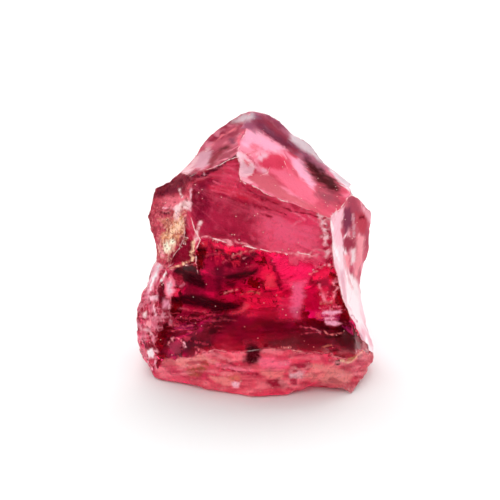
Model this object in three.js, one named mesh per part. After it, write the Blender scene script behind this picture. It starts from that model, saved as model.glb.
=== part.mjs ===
// Raw pyrope crystal: one broken lump of garnet, all fracture faces, about 12 mm each way.
//
// Millimetres, +Z up, +X to the right and -Y towards the front. The crystal stands on a flat
// fracture, and the origin is the centre of its footprint's box, on that flat.
//
// The lump is a closed cage of named corners and fracture faces. Each face is filled as a film
// stretched over its own rim, then blown out or sucked in, and stepped in rings about the corner
// where the blow that broke it landed. Rims are shared, so they stay sharp, and the whole is one
// closed solid.
import * as THREE from "three";
import { ImprovedNoise } from "three/addons/math/ImprovedNoise.js";

// ---- driving dimensions ------------------------------------------------------------------------
const FINE_EDGE = 0.5; // the longest edge of a triangle on the broken front
const COARSE_EDGE = 0.85; // and elsewhere
const RIM_JAG = 0.09; // how far a broken rim strays from a straight line
const RIM_JAG_SIZE = 0.7; // the length of one such stray
const SKIN_RELIEF = 0.035; // unevenness of every face
const SKIN_RELIEF_SIZE = 0.55;
const SEAT_SHARE = 0.86; // the flat it stands on, as a share of the lower rim
const CLEAR_OF_SEAT = 0.05; // everything else is at least this far above the flat

// ---- corners -----------------------------------------------------------------------------------
// x, y, z of each corner. Faces meet here.
const corners = {
  // the lower rim, just off the surface, from the front left round to the left
  rim1: [-4.95, -2.95, 0.14],
  rim2: [-3.5, -3.75, 0.14],
  rim3: [-1.95, -4.6, 0.12],
  rim4: [-0.3, -5.25, 0.08],
  rim5: [1.65, -5.1, 0.1],
  rim6: [2.9, -4.5, 0.4],
  rim7: [4.8, -4.8, 0.15],
  rim8: [5.38, -3.4, 0.35],
  rim9: [5.95, -1.7, 0.5],
  rim10: [5.3, 1.6, 0.4],
  rim11: [3.5, 3.9, 0.3],
  rim12: [0.4, 4.8, 0.3],
  rim13: [-3.2, 4.0, 0.35],
  rim14: [-5.55, 1.9, 0.5],
  rim15: [-5.5, -1.3, 0.3],
  // the ridge above the foot, across the front
  lip1: [-4.45, -3.2, 1.25],
  lip2: [-3.2, -4.2, 1.7],
  lip3: [-1.95, -4.9, 2.45],
  lip4: [-0.8, -5.45, 2.45],
  lip5: [0.65, -5.6, 2.65],
  lip6: [2.2, -5.5, 2.55],
  lip7: [3.55, -5.15, 2.15],
  lip8: [4.45, -4.7, 1.75],
  lip9: [5.2, -3.7, 1.75],
  lip10: [5.95, -1.9, 0.95],
  // round the upper front face
  up1: [-3.15, -1.7, 10.2],
  up2: [-1.95, -1.35, 10.55],
  up3: [-0.9, -0.9, 10.9],
  up4: [-0.6, -1.6, 10.0],
  up5: [1.0, -2.1, 9.25],
  up6: [2.35, -2.3, 8.75],
  up7: [3.7, -2.3, 8.2],
  up8: [3.8, -2.75, 7.4],
  up9: [3.8, -3.0, 6.5],
  up10: [2.2, -3.5, 6.75],
  up11: [0.0, -3.6, 7.1],
  up12: [-1.9, -3.4, 7.5],
  up13: [-2.7, -3.2, 7.5],
  up14: [-3.1, -2.5, 8.9],
  // the knob on the left
  knob1: [-4.85, -0.6, 9.15],
  knob2: [-5.27, -0.7, 7.7],
  knob3: [-4.95, -1.2, 6.6],
  knob4: [-4.82, -1.6, 5.7],
  knob5: [-3.35, -2.4, 8.9],
  knob6: [-3.35, -3.1, 7.6],
  knob7: [-4.1, -2.7, 6.25],
  knob8: [-2.95, -3.3, 6.3],
  knob9: [-4.3, -2.3, 5.55],
  knob10: [-5.02, -0.6, 8.4],
  // the left flank
  flank1: [-5.28, -1.9, 4.6],
  flank2: [-5.68, -2.0, 3.85],
  flank3: [-5.8, -2.1, 2.8],
  flank4: [-5.8, -1.9, 1.95],
  flank5: [-5.8, -1.6, 1.15],
  flank6: [-4.25, -2.7, 4.75],
  flank7: [-4.5, -3.0, 3.6],
  flank8: [-4.65, -3.1, 2.35],
  // across the middle of the lower front face
  mid1: [-3.85, -2.9, 4.15],
  mid2: [-1.95, -3.6, 4.25],
  mid3: [0.2, -4.0, 4.4],
  mid4: [2.2, -3.9, 4.35],
  mid5: [3.55, -3.5, 4.35],
  // the right edge of the lower front face
  edge1: [4.2, -3.4, 4.9],
  edge2: [4.75, -3.65, 3.5],
  // the top
  top1: [-3.58, -0.5, 9.98],
  top2: [-2.95, 0.9, 10.47],
  top3: [-2.22, 2.2, 11.07],
  top4: [-1.3, 3.3, 11.47],
  top5: [-0.15, 4.1, 11.82],
  top6: [1.0, 4.3, 11.35],
  top7: [1.95, 4.4, 10.4],
  top8: [2.9, 4.3, 9.75],
  top9: [3.65, 4.0, 8.95],
  top10: [4.83, 3.4, 8.05],
  top11: [-0.1, 3.3, 11.3],
  top12: [1.5, 3.5, 10.1],
  top13: [2.3, 3.4, 9.45],
  crest1: [-0.7, 1.4, 11.0],
  crest2: [-0.3, -0.3, 10.4],
  crest3: [0.4, 0.0, 9.85],
  crest4: [1.35, 1.4, 10.15],
  // the lobe behind the right wall
  lobe1: [4.15, -0.6, 8.1],
  lobe2: [4.88, 1.2, 8.25],
  lobe3: [6.0, 2.4, 6.9],
  lobe4: [5.82, 2.6, 5.0],
  lobe5: [5.3, 2.2, 3.05],
  lobe6: [5.7, 1.7, 1.3],
  wall1: [4.5, 0.2, 6.0],
  wall2: [4.7, 0.3, 4.8],
  wall3: [4.95, 0.2, 3.5],
  wall4: [5.6, 0.0, 1.8],
  // the back
  back1: [3.9, 4.6, 6.6],
  back2: [4.2, 4.4, 2.6],
  back3: [0.9, 5.3, 7.4],
  back4: [0.6, 5.5, 2.6],
  back5: [-2.7, 4.4, 7.6],
  back6: [-3.4, 4.7, 3.2],
  back7: [-4.85, 1.0, 4.4],
  back8: [-4.4, 1.2, 7.6],
};

// ---- faces -------------------------------------------------------------------------------------
// cells: loops of corners, anticlockwise seen from outside. dome: how far the middle stands out, or is
// scooped in where it is below zero. steps: ledges in rings about the corner the blow fell on.
const faces = {
  foot: {
    cells: [
      "rim1 rim2 lip2 lip1",
      "rim2 rim3 lip3 lip2",
      "rim3 rim4 lip4 lip3",
      "rim4 rim5 lip6 lip5 lip4",
      "rim5 rim6 lip7 lip6",
      "rim6 rim7 lip8 lip7",
      "rim7 rim8 lip9 lip8",
      "rim8 rim9 lip10 lip9",
    ],
    dome: 0.1, edge: FINE_EDGE,
  },
  lower_front: {
    cells: [
      "lip1 lip2 mid1 flank7 flank8",
      "lip2 lip3 mid2 mid1",
      "lip3 lip4 lip5 mid3 mid2",
      "lip5 lip6 mid4 mid3",
      "lip6 lip7 mid5 mid4",
      "lip7 lip8 lip9 edge2 mid5",
      "lip9 lip10 edge2",
      "edge2 edge1 mid5",
      "mid5 edge1 up9 up10 mid4",
      "mid4 up10 up11 mid3",
      "mid3 up11 up12 mid2",
      "mid2 up12 up13 knob8 mid1",
      "mid1 knob8 knob9 flank6 flank7",
    ],
    dome: -0.75, edge: FINE_EDGE,
    steps: { from: "up3", length: 1.5, height: 0.12 },
  },
  upper_front: {
    cells: ["up13 up12 up11 up10 up9 up8 up7 up6 up5 up4 up3 up2 up1 up14"],
    dome: 0.2, edge: FINE_EDGE,
  },
  knob_red: { cells: ["knob9 knob8 up13 up14 knob5 knob6 knob7"], dome: -0.1, edge: FINE_EDGE },
  knob_crust: {
    cells: ["knob4 knob9 knob7 knob6 knob5 knob10 knob2 knob3"],
    dome: 0.15, edge: FINE_EDGE,
  },
  knob_top: { cells: ["knob10 knob5 up14 up1 top1 knob1"], dome: 0.05, edge: FINE_EDGE },
  left_flank: {
    cells: ["rim1 lip1 flank8 flank7 flank6 knob9 knob4 flank1 flank2 flank3 flank4 flank5 rim15"],
    dome: 0.35, edge: FINE_EDGE,
  },
  top_left: { cells: ["up1 up2 up3 crest1 top11 top5 top4 top3 top2 top1"], dome: -0.2 },
  top_middle: { cells: ["up3 crest2 crest3 crest4 top12 top11 crest1"], dome: 0.1 },
  top_flake: { cells: ["up3 up4 crest3 crest2"], dome: -0.25 },
  top_right: {
    cells: ["up4 up5 up6 up7 lobe1 lobe2 top10 top9 top13 top12 crest4 crest3"],
    dome: -0.15, steps: { from: "top10", length: 2.6, height: 0.12 },
  },
  top_rim: { cells: ["top11 top12 top13 top9 top8 top7 top6 top5"], dome: 0.05 },
  right_wall: {
    cells: ["lip10 wall4 wall3 wall2 wall1 lobe1 up7 up8 up9 edge1 edge2"],
    dome: -0.1, edge: FINE_EDGE,
  },
  lobe_front: {
    cells: [
      "wall4 lobe6 lobe5 wall3",
      "wall3 lobe5 lobe4 wall2",
      "wall2 lobe4 lobe3 wall1",
      "wall1 lobe3 lobe2 lobe1",
    ],
    dome: 0.1,
  },
  foot_right: { cells: ["rim9 rim10 lobe6 wall4 lip10"], dome: 0.1 },
  lobe_back: {
    cells: ["rim10 rim11 back2 back1 top10 lobe2 lobe3 lobe4 lobe5 lobe6"],
    dome: 0.2, steps: { from: "rim11", length: 2.2, height: 0.25 },
  },
  back_upper_right: {
    cells: ["back1 back3 top5 top6 top7 top8 top9 top10"],
    dome: 0.1, steps: { from: "back1", length: 2.2, height: 0.25 },
  },
  back_upper_left: {
    cells: ["back3 back5 top2 top3 top4 top5"],
    dome: 0.1, steps: { from: "back5", length: 2.4, height: 0.25 },
  },
  back_lower_right: {
    cells: ["rim11 rim12 back4 back3 back1 back2"],
    dome: 0.2, steps: { from: "back2", length: 2.2, height: 0.3 },
  },
  back_lower_left: {
    cells: ["rim12 rim13 back6 back5 back3 back4"],
    dome: -0.2, steps: { from: "rim13", length: 2.0, height: 0.3 },
  },
  left_upper: { cells: ["back5 back8 knob10 knob1 top1 top2"], dome: 0.1 },
  left_middle: {
    cells: ["back6 back7 knob4 knob3 knob2 knob10 back8 back5"],
    dome: -0.2, steps: { from: "back6", length: 2.2, height: 0.2 },
  },
  left_lower: {
    cells: ["rim13 rim14 rim15 flank5 flank4 flank3 flank2 flank1 knob4 back7 back6"],
    dome: 0.2, steps: { from: "rim14", length: 2.2, height: 0.25 },
  },
};

// The seat is the lower rim drawn in, on the surface, with a bevel up to the rim all round.
const lowerRim = Object.keys(corners).filter((name) => name.startsWith("rim"));
for (const name of lowerRim) {
  const [x, y] = corners[name];
  corners[name.replace("rim", "seat")] = [x * SEAT_SHARE, y * SEAT_SHARE, 0];
}
lowerRim.forEach((name, i) => {
  const next = lowerRim[(i + 1) % lowerRim.length];
  const seats = [name, next].map((n) => n.replace("rim", "seat"));
  faces["bevel" + (i + 1)] = { cells: [[...seats, next, name].join(" ")], dome: 0 };
});
const seatRim = lowerRim.map((name) => name.replace("rim", "seat")).reverse();
faces.seat = { cells: [seatRim.join(" ")], dome: 0, flat: true };

// ---- cage to triangles -------------------------------------------------------------------------
const points = [];
const cornerIndex = {};
for (const [name, at] of Object.entries(corners)) {
  cornerIndex[name] = points.length;
  points.push(new THREE.Vector3(...at));
}

// Newell's normal of a loop of points, as long as twice the loop's area.
function loopNormal(loop) {
  const normal = new THREE.Vector3();
  loop.forEach((p, i) => {
    const q = loop[(i + 1) % loop.length];
    normal.x += (p.y - q.y) * (p.z + q.z);
    normal.y += (p.z - q.z) * (p.x + q.x);
    normal.z += (p.x - q.x) * (p.y + q.y);
  });
  return normal;
}

// Each triangle is [a, b, c, face name]. A cell is fanned out from its middle.
let triangles = [];
for (const [name, face] of Object.entries(faces)) {
  face.normal = new THREE.Vector3();
  for (const cell of face.cells) {
    const loop = cell.split(" ").map((corner) => cornerIndex[corner]);
    const places = loop.map((i) => points[i]);
    const middle = points.length;
    points.push(places.reduce((sum, p) => sum.add(p), new THREE.Vector3()).divideScalar(loop.length));
    loop.forEach((a, i) => triangles.push([a, loop[(i + 1) % loop.length], middle, name]));
    face.normal.add(loopNormal(places));
  }
  face.normal.normalize();
}

const edgeKey = (a, b) => (a < b ? a + "_" + b : b + "_" + a);

// Splits every edge longer than its faces allow at its middle, until none is left.
function refine() {
  for (let again = true; again; ) {
    again = false;
    const limits = new Map();
    for (const [a, b, c, name] of triangles)
      for (const key of [edgeKey(a, b), edgeKey(b, c), edgeKey(c, a)])
        limits.set(key, Math.min(limits.get(key) ?? COARSE_EDGE, faces[name].edge ?? COARSE_EDGE));
    const middles = new Map();
    const middleOf = (a, b) => {
      const key = edgeKey(a, b);
      if (points[a].distanceTo(points[b]) <= limits.get(key)) return -1;
      if (!middles.has(key)) {
        middles.set(key, points.length);
        points.push(new THREE.Vector3().lerpVectors(points[a], points[b], 0.5));
      }
      return middles.get(key);
    };
    const next = [];
    for (const [a, b, c, name] of triangles) {
      const [ab, bc, ca] = [middleOf(a, b), middleOf(b, c), middleOf(c, a)];
      const cut = [ab, bc, ca].filter((m) => m >= 0).length;
      if (cut === 0) next.push([a, b, c, name]);
      else next.push(...pieces([a, b, c], [ab, bc, ca], name));
      again ||= cut > 0;
    }
    triangles = next;
  }
}

// A triangle with one, two or three of its sides cut at the middle, as smaller triangles.
function pieces([a, b, c], [ab, bc, ca], name) {
  const cut = [ab, bc, ca].filter((m) => m >= 0).length;
  if (cut === 3)
    return [[a, ab, ca, name], [ab, b, bc, name], [ca, bc, c, name], [ab, bc, ca, name]];
  if (cut === 2) {
    if (ab < 0) return pieces([b, c, a], [bc, ca, ab], name);
    if (bc < 0) return pieces([c, a, b], [ca, ab, bc], name);
    return [[ab, b, bc, name], [a, ab, bc, name], [a, bc, c, name]];
  }
  if (ab < 0) return pieces([b, c, a], [bc, ca, ab], name);
  return [[a, ab, c, name], [ab, b, c, name]];
}
refine();

// ---- relief ------------------------------------------------------------------------------------
const perlin = new ImprovedNoise();
const noiseAt = (p, size, seed) => perlin.noise(p.x / size + seed, p.y / size + seed, p.z / size - seed);

// Which faces each point lies on. A point on one face only is inside it, the others are on rims.
const facesOf = points.map(() => new Set());
const neighbours = points.map(() => new Set());
for (const [a, b, c, name] of triangles)
  for (const [p, q, r] of [[a, b, c], [b, c, a], [c, a, b]]) {
    facesOf[p].add(name);
    neighbours[p].add(q).add(r);
  }
const inside = points.map((_, i) => facesOf[i].size === 1);
const onSeat = points.map((_, i) => facesOf[i].has("seat"));

// Broken rims stray to all sides.
points.forEach((p, i) => {
  if (inside[i] || onSeat[i]) return;
  const stray = new THREE.Vector3(...[3, 17, 31].map((seed) => noiseAt(p, RIM_JAG_SIZE, seed + 0.5)));
  p.addScaledVector(stray, 2 * RIM_JAG);
});

// The film: every inside point moves to the middle of its neighbours, over and over.
const insidePoints = points.map((_, i) => i).filter((i) => inside[i]);
const FILM_ROUNDS = 120;
for (let round = 0; round < FILM_ROUNDS; round++)
  for (const i of insidePoints) {
    const middle = new THREE.Vector3();
    for (const j of neighbours[i]) middle.add(points[j]);
    points[i].copy(middle.divideScalar(neighbours[i].size));
  }

// How far inside its face a point is: 0 on the rim, 1 in the middle.
const depth = points.map(() => 0);
const DEPTH_ROUNDS = 400;
for (let round = 0; round < DEPTH_ROUNDS; round++)
  for (const i of insidePoints) {
    let sum = 0;
    for (const j of neighbours[i]) sum += depth[j];
    depth[i] = sum / neighbours[i].size + 1;
  }
const deepest = {};
const faceOf = (i) => [...facesOf[i]][0];
for (const i of insidePoints) deepest[faceOf(i)] = Math.max(deepest[faceOf(i)] ?? 0, depth[i]);
for (const i of insidePoints) depth[i] /= deepest[faceOf(i)];

// A step rises slowly away from the blow and drops quickly: -0.5 to 0.5 over one step.
const RISE = 0.75;
function step(t) {
  const along = t - Math.floor(t);
  return (along < RISE ? along / RISE : (1 - along) / (1 - RISE)) - 0.5;
}
const WANDER = 0.35; // how far steps stray from true circles, in steps
const WANDER_SIZE = 2.5;
const FADE = 0.25; // the share of the way in over which steps come up to full height
for (const i of insidePoints) {
  const face = faces[faceOf(i)];
  if (face.flat) continue;
  let lift = face.dome * depth[i];
  if (face.steps) {
    const { from, length, height } = face.steps;
    const away = points[i].distanceTo(points[cornerIndex[from]]) / length;
    const wander = WANDER * noiseAt(points[i], WANDER_SIZE, 0.5);
    lift += height * step(away + wander) * THREE.MathUtils.smoothstep(depth[i], 0, FADE);
  }
  points[i].addScaledVector(face.normal, lift);
}

// Every face is a little uneven.
points.forEach((p, i) => {
  if (onSeat[i]) return;
  const uneven = new THREE.Vector3(...[7, 19, 43].map((seed) => noiseAt(p, SKIN_RELIEF_SIZE, seed + 0.5)));
  p.addScaledVector(uneven, 2 * SKIN_RELIEF);
  p.z = Math.max(p.z, CLEAR_OF_SEAT);
});

// ---- the solid ---------------------------------------------------------------------------------
const geometry = new THREE.BufferGeometry().setFromPoints(points);
geometry.setIndex(triangles.flatMap(([a, b, c]) => [a, b, c]));
geometry.computeBoundingBox();
const box = geometry.boundingBox;
geometry.translate(-(box.min.x + box.max.x) / 2, -(box.min.y + box.max.y) / 2, -box.min.z);

const garnet = new THREE.MeshStandardMaterial({ color: 0xb0183a, roughness: 0.15, metalness: 0 });
const crystal = new THREE.Mesh(geometry, garnet);
crystal.name = "pyrope_crystal";

const part = new THREE.Group();
part.add(crystal);
export default part;
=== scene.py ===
import heapq
import math
from collections import namedtuple

import bmesh
import bpy
import numpy as np
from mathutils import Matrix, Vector, kdtree, noise


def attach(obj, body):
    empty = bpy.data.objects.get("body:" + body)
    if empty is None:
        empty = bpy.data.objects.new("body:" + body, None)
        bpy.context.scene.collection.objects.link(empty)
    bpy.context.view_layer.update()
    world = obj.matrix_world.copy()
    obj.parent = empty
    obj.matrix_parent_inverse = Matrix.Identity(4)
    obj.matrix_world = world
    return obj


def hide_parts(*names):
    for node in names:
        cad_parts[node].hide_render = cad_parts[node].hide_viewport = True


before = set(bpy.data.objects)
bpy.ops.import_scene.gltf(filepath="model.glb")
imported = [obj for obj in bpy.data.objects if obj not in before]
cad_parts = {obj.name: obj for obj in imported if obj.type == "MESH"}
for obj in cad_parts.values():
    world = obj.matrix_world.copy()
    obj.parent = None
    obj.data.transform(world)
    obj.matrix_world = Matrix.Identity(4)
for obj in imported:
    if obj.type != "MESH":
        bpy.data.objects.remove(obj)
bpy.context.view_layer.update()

MM = 0.001

# ---- sizes in millimetres, angles and counts ----
ROUND_LEVELS = 2  # how often the solid's triangles are divided
SOFT_ANGLE = math.radians(18)  # an edge flatter than this is rounded away
SHARP_ANGLE = math.radians(38)  # and one sharper than this stays a ridge
RIDGE_COST = 9.0  # the extra way a face pays for growing across a ridge
RIDGE_ANGLE = math.radians(22)  # the least turn of a ridge that is chipped
PAINT_SLANT = math.radians(20)  # marks on the front are laid on from this far above level
BLOW = (-0.9, -0.9, 10.9)  # ripples and striae run in rings round this point
FAN = (-5.2, 10.6)  # the lines on the satin face fan out from here, across and up
JOIN_GAP = 0.0001  # corners of the solid nearer than this are one corner
SHADE_ANGLE = math.radians(40)  # an edge sharper than this is shaded as an edge
RIPPLE = 0.42  # from one ring of the ripples to the next
CHIP = 0.32  # the size of the flank's chips
CRUMB = 0.16  # and of the grains of the crust
FRAY = 0.16  # how far from a ridge its hackles reach
CELL_SHAPE = (1.2, 1.2, 0.75)  # chips and grains are taller than they are wide
NOISE_REACH = 1.6  # brings noise out to about -1 to 1
SEED_STEP = 11.7  # how far apart the places lie where two seeds read the noise
CELL_NUMBER_DRAW = 7.31  # where a cell's number is drawn from
CELL_SLOPE_DRAW = 5.17  # and its slope
FOLDED = 0.4  # about what noise comes to on average once it is folded at 0
BEYOND = 99.0  # farther than any place on the stone


def srgb(red, green, blue):
    """A colour given as it looks on screen, 0 to 255, in the shader's linear values."""
    out = []
    for value in (red, green, blue):
        value /= 255
        out.append(value / 12.92 if value <= 0.04045 else ((value + 0.055) / 1.055) ** 2.4)
    return np.array(out)


# ---- the colours of the marks ----
moss = srgb(34, 42, 32)
smoke = srgb(64, 36, 48)
night = srgb(42, 0, 4)
soot = srgb(64, 2, 12)
plum = srgb(76, 12, 30)
sloe = srgb(84, 2, 22)
wine = srgb(108, 4, 28)
claret = srgb(124, 6, 32)
oxblood = srgb(146, 4, 38)
mulberry = srgb(130, 24, 46)
heather = srgb(124, 50, 78)
cherry = srgb(182, 12, 50)
carmine = srgb(204, 6, 54)
brick = srgb(180, 28, 52)
russet = srgb(206, 34, 54)
scarlet = srgb(232, 20, 62)
ruby = srgb(248, 32, 84)
dusk = srgb(154, 54, 76)
mauve = srgb(140, 86, 116)
rosewood = srgb(184, 62, 80)
raspberry = srgb(206, 62, 88)
flame = srgb(236, 42, 78)
coral = srgb(252, 72, 92)
fuchsia = srgb(246, 68, 106)
clay = srgb(190, 112, 92)
umber = srgb(140, 82, 54)
straw = srgb(170, 140, 84)
old_rose = srgb(204, 86, 104)
rose = srgb(224, 92, 116)
dusty_rose = srgb(200, 120, 132)
salmon = srgb(228, 112, 128)
candy = srgb(240, 120, 144)
hot_pink = srgb(255, 96, 130)
peach = srgb(228, 132, 130)
gold = srgb(218, 150, 110)
blush = srgb(240, 148, 160)
lilac = srgb(204, 148, 164)
petal = srgb(252, 164, 192)
powder = srgb(251, 188, 202)
apricot = srgb(242, 196, 162)
haze = srgb(224, 176, 184)
cream = srgb(255, 238, 212)
pearl = srgb(230, 212, 220)
milk = srgb(248, 222, 226)
chalk = srgb(255, 246, 248)
maroon = srgb(106, 30, 48)
garnet_red = srgb(154, 34, 58)
crimson = srgb(220, 62, 90)
shell = srgb(250, 206, 208)
neon = srgb(255, 104, 146)
bloom = srgb(246, 108, 136)

# ---- the faces of the stone ----
# Points on each face, in millimetres. A face grows out from its points until it meets the next one,
# and pays extra to cross a ridge.
face_seeds = {
    "foot": [(-3.2, -4.1, 0.9), (-0.6, -5.3, 1.2), (2.0, -5.2, 1.3), (4.3, -4.6, 0.9), (5.4, -3.0, 0.9),
             (-4.2, -3.4, 0.8)],
    "lower_front": [(0.0, -4.0, 4.4), (-3.0, -3.3, 4.3), (3.2, -3.8, 4.4), (-1.2, -4.6, 3.0),
                    (4.6, -4.0, 2.4), (-3.6, -3.6, 2.3), (-4.2, -3.2, 1.9)],
    "upper_front": [(-1.0, -2.8, 8.5), (1.5, -2.9, 7.9), (3.2, -2.8, 7.6), (-2.2, -2.3, 9.5)],
    "knob_red": [(-3.4, -2.8, 7.2)],
    "knob_crust": [(-4.4, -1.9, 7.0), (-4.5, -1.5, 8.0)],
    "knob_top": [(-4.0, -1.3, 9.4)],
    "left_flank": [(-5.1, -2.5, 3.0), (-5.0, -2.3, 4.3), (-5.2, -2.2, 1.2)],
    "top_left": [(-2.4, 0.2, 10.5), (-1.4, 1.8, 10.9)],
    "top_middle": [(0.0, 1.0, 10.4), (0.6, 2.2, 10.5)],
    "top_flake": [(-0.3, -0.7, 10.2)],
    "top_right": [(2.5, 1.0, 9.0), (1.3, -0.5, 9.4), (3.6, 2.2, 8.5)],
    "top_rim": [(1.4, 3.9, 10.3), (2.6, 3.9, 9.5), (0.3, 3.9, 11.2)],
    "right_wall": [(4.6, -1.4, 5.5), (5.1, -1.6, 3.0)],
    "lobe": [(5.2, 1.2, 6.5), (5.2, 1.2, 4.0), (5.4, 1.0, 2.2)],
    "foot_right": [(5.6, 0.0, 1.1)],
    "lobe_back": [(5.2, 3.0, 4.5), (4.8, 3.2, 1.6)],
    "back": [(2.5, 4.8, 8.0), (-1.5, 4.8, 9.0), (2.5, 4.9, 4.0), (-1.5, 5.0, 4.0), (0.5, 5.2, 1.5)],
    "left_back": [(-3.8, 2.0, 8.8), (-4.6, 1.5, 6.5), (-5.0, 1.5, 2.5), (-4.3, 3.5, 3.5)],
    "seat": [(0.0, 0.0, 0.0)],
}
face_names = list(face_seeds)

# How each face is finished. polish: the roughness of its clear garnet. cover: the share that is
# frosted, cloudy or crusted, in the colour skin. hackle: the height of its broken relief.
Finish = namedtuple("Finish", ["polish", "cover", "skin", "hackle"])
finishes = {
    "foot": Finish(0.3, 0.75, srgb(204, 84, 98), 0.03),
    "lower_front": Finish(0.03, 0.0, srgb(196, 40, 70), 0.004),
    "upper_front": Finish(0.3, 0.6, srgb(190, 46, 72), 0.006),
    "knob_red": Finish(0.12, 0.5, srgb(120, 16, 36), 0.02),
    "knob_crust": Finish(0.3, 0.75, srgb(160, 62, 78), 0.04),
    "knob_top": Finish(0.5, 0.85, srgb(120, 40, 56), 0.04),
    "left_flank": Finish(0.2, 0.55, srgb(196, 62, 88), 0.01),
    "top_left": Finish(0.2, 0.86, srgb(184, 78, 100), 0.015),
    "top_middle": Finish(0.2, 0.93, srgb(240, 138, 162), 0.01),
    "top_flake": Finish(0.2, 0.93, srgb(246, 160, 178), 0.01),
    "top_right": Finish(0.25, 0.93, srgb(212, 76, 102), 0.01),
    "top_rim": Finish(0.3, 0.93, srgb(186, 108, 132), 0.02),
    "right_wall": Finish(0.2, 0.9, srgb(238, 210, 218), 0.01),
    "lobe": Finish(0.2, 0.88, srgb(200, 92, 112), 0.02),
    "foot_right": Finish(0.2, 0.85, srgb(216, 140, 156), 0.02),
    "lobe_back": Finish(0.2, 0.2, srgb(204, 76, 104), 0.016),
    "back": Finish(0.2, 0.1, srgb(200, 60, 90), 0.016),
    "left_back": Finish(0.2, 0.12, srgb(200, 60, 90), 0.016),
    "seat": Finish(0.3, 0.1, srgb(180, 45, 80), 0.0),
}


def copy_of_solid(name):
    """The solid's triangles with their shared corners joined, in millimetres."""
    shape = bmesh.new()
    shape.from_mesh(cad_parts[name].data)
    bmesh.ops.remove_doubles(shape, verts=shape.verts, dist=JOIN_GAP * MM)
    bmesh.ops.scale(shape, vec=(1 / MM,) * 3, verts=shape.verts)
    return shape


def ridge_sharpness(edge):
    """0 on an edge that is rounded away, 1 on a ridge."""
    angle = abs(edge.calc_face_angle(0.0))
    return min(1.0, max(0.0, (angle - SOFT_ANGLE) / (SHARP_ANGLE - SOFT_ANGLE)))


def grow_faces(shape):
    """Labels each triangle with the face it belongs to."""
    label = shape.faces.layers.int.new("face")
    shape.faces.ensure_lookup_table()
    middles = [face.calc_center_median() for face in shape.faces]
    reached = set()
    front = []
    for number, name in enumerate(face_names):
        for seed in face_seeds[name]:
            start = min(range(len(middles)), key=lambda i: (middles[i] - Vector(seed)).length)
            heapq.heappush(front, (0.0, start, number))
    while front:
        way, at, number = heapq.heappop(front)
        if at in reached:
            continue
        reached.add(at)
        shape.faces[at][label] = number
        for edge in shape.faces[at].edges:
            for other in edge.link_faces:
                if other.index not in reached:
                    stride = (middles[other.index] - middles[at]).length
                    stride += RIDGE_COST * ridge_sharpness(edge)
                    heapq.heappush(front, (way + stride, other.index, number))


def rounded_stone():
    """The stone with its soft edges rounded and its ridges kept, in millimetres."""
    shape = copy_of_solid("pyrope_crystal")
    grow_faces(shape)
    crease = shape.edges.layers.float.new("crease_edge")
    for edge in shape.edges:
        edge[crease] = ridge_sharpness(edge)
    coarse = bpy.data.meshes.new("coarse")
    shape.to_mesh(coarse)
    shape.free()
    made = bpy.data.objects.new("garnet_crystal", coarse)
    bpy.context.scene.collection.objects.link(made)
    rounding = made.modifiers.new("rounding", "SUBSURF")
    rounding.levels = ROUND_LEVELS
    rounding.render_levels = ROUND_LEVELS
    evaluated = made.evaluated_get(bpy.context.evaluated_depsgraph_get())
    fine = bpy.data.meshes.new_from_object(evaluated)
    made.modifiers.clear()
    made.data = fine
    return made


def read(values, key, width=1, kind=float):
    """One value, or a row of so many, of each thing in a mesh's list, as an array."""
    out = np.empty(len(values) * width)
    values.foreach_get(key, out)
    out = out.astype(kind)
    return out.reshape(-1, width) if width > 1 else out


stone = rounded_stone()
mesh = stone.data
points = read(mesh.vertices, "co", 3)
normals = read(mesh.vertices, "normal", 3)
face_of_polygon = read(mesh.attributes["face"].data, "value", kind=int)
corner_point = read(mesh.loops, "vertex_index", kind=int)
corner_edge = read(mesh.loops, "edge_index", kind=int)
corner_polygon = np.repeat(np.arange(len(mesh.polygons)), read(mesh.polygons, "loop_total", kind=int))
corner_face = face_of_polygon[corner_polygon]
around = np.bincount(corner_point, minlength=len(points))

# How much of each face there is at each point, 0 to 1.
on = {
    name: np.bincount(corner_point, weights=corner_face == number, minlength=len(points)) / around
    for number, name in enumerate(face_names)
}


def on_any(names):
    """How much of all these faces together there is at each point, 0 to 1."""
    return np.clip(sum(on[name] for name in names), 0, 1)


knob_faces = ["knob_red", "knob_crust", "knob_top"]
soft_faces = ["top_left", "top_middle", "top_flake", "top_right", "top_rim", "lobe", "right_wall"]
knob = on_any(knob_faces)
far_side = on_any(["back", "left_back", "lobe_back"])


# ---- measuring tools for the paint and the relief ----
def smooth(value, low, high):
    """0 below low, 1 above high and eased between."""
    t = np.clip((value - low) / (high - low), 0, 1)
    return t * t * (3 - 2 * t)


def noise_at(where):
    """Noise about -1 to 1 at these places, with features about 1 across."""
    return np.array([noise.noise(p) for p in where.tolist()]) * NOISE_REACH


def grain(size, seed):
    """Noise about -1 to 1 with features of this size in millimetres."""
    return noise_at(points / size + seed * SEED_STEP)


across = points[:, 0]
upward = points[:, 2] * math.cos(PAINT_SLANT) + points[:, 1] * math.sin(PAINT_SLANT)


def sway(seed):
    """How far outlines wander at each point, before SWAY scales it: broad bends and fine ones."""
    return 0.22 * grain(0.9, seed) + 0.08 * grain(0.3, seed + 1)


def drift(width, height, seed, lean=0.0):
    """Noise about -1 to 1, drawn out to this width and height on the front, turned by lean degrees."""
    a = math.radians(lean)
    along = across * math.cos(a) + upward * math.sin(a)
    over = -across * math.sin(a) + upward * math.cos(a)
    depth = points[:, 1] * 0.4 + seed * SEED_STEP
    return noise_at(np.stack([along / width, over / height, depth], axis=1))


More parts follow.
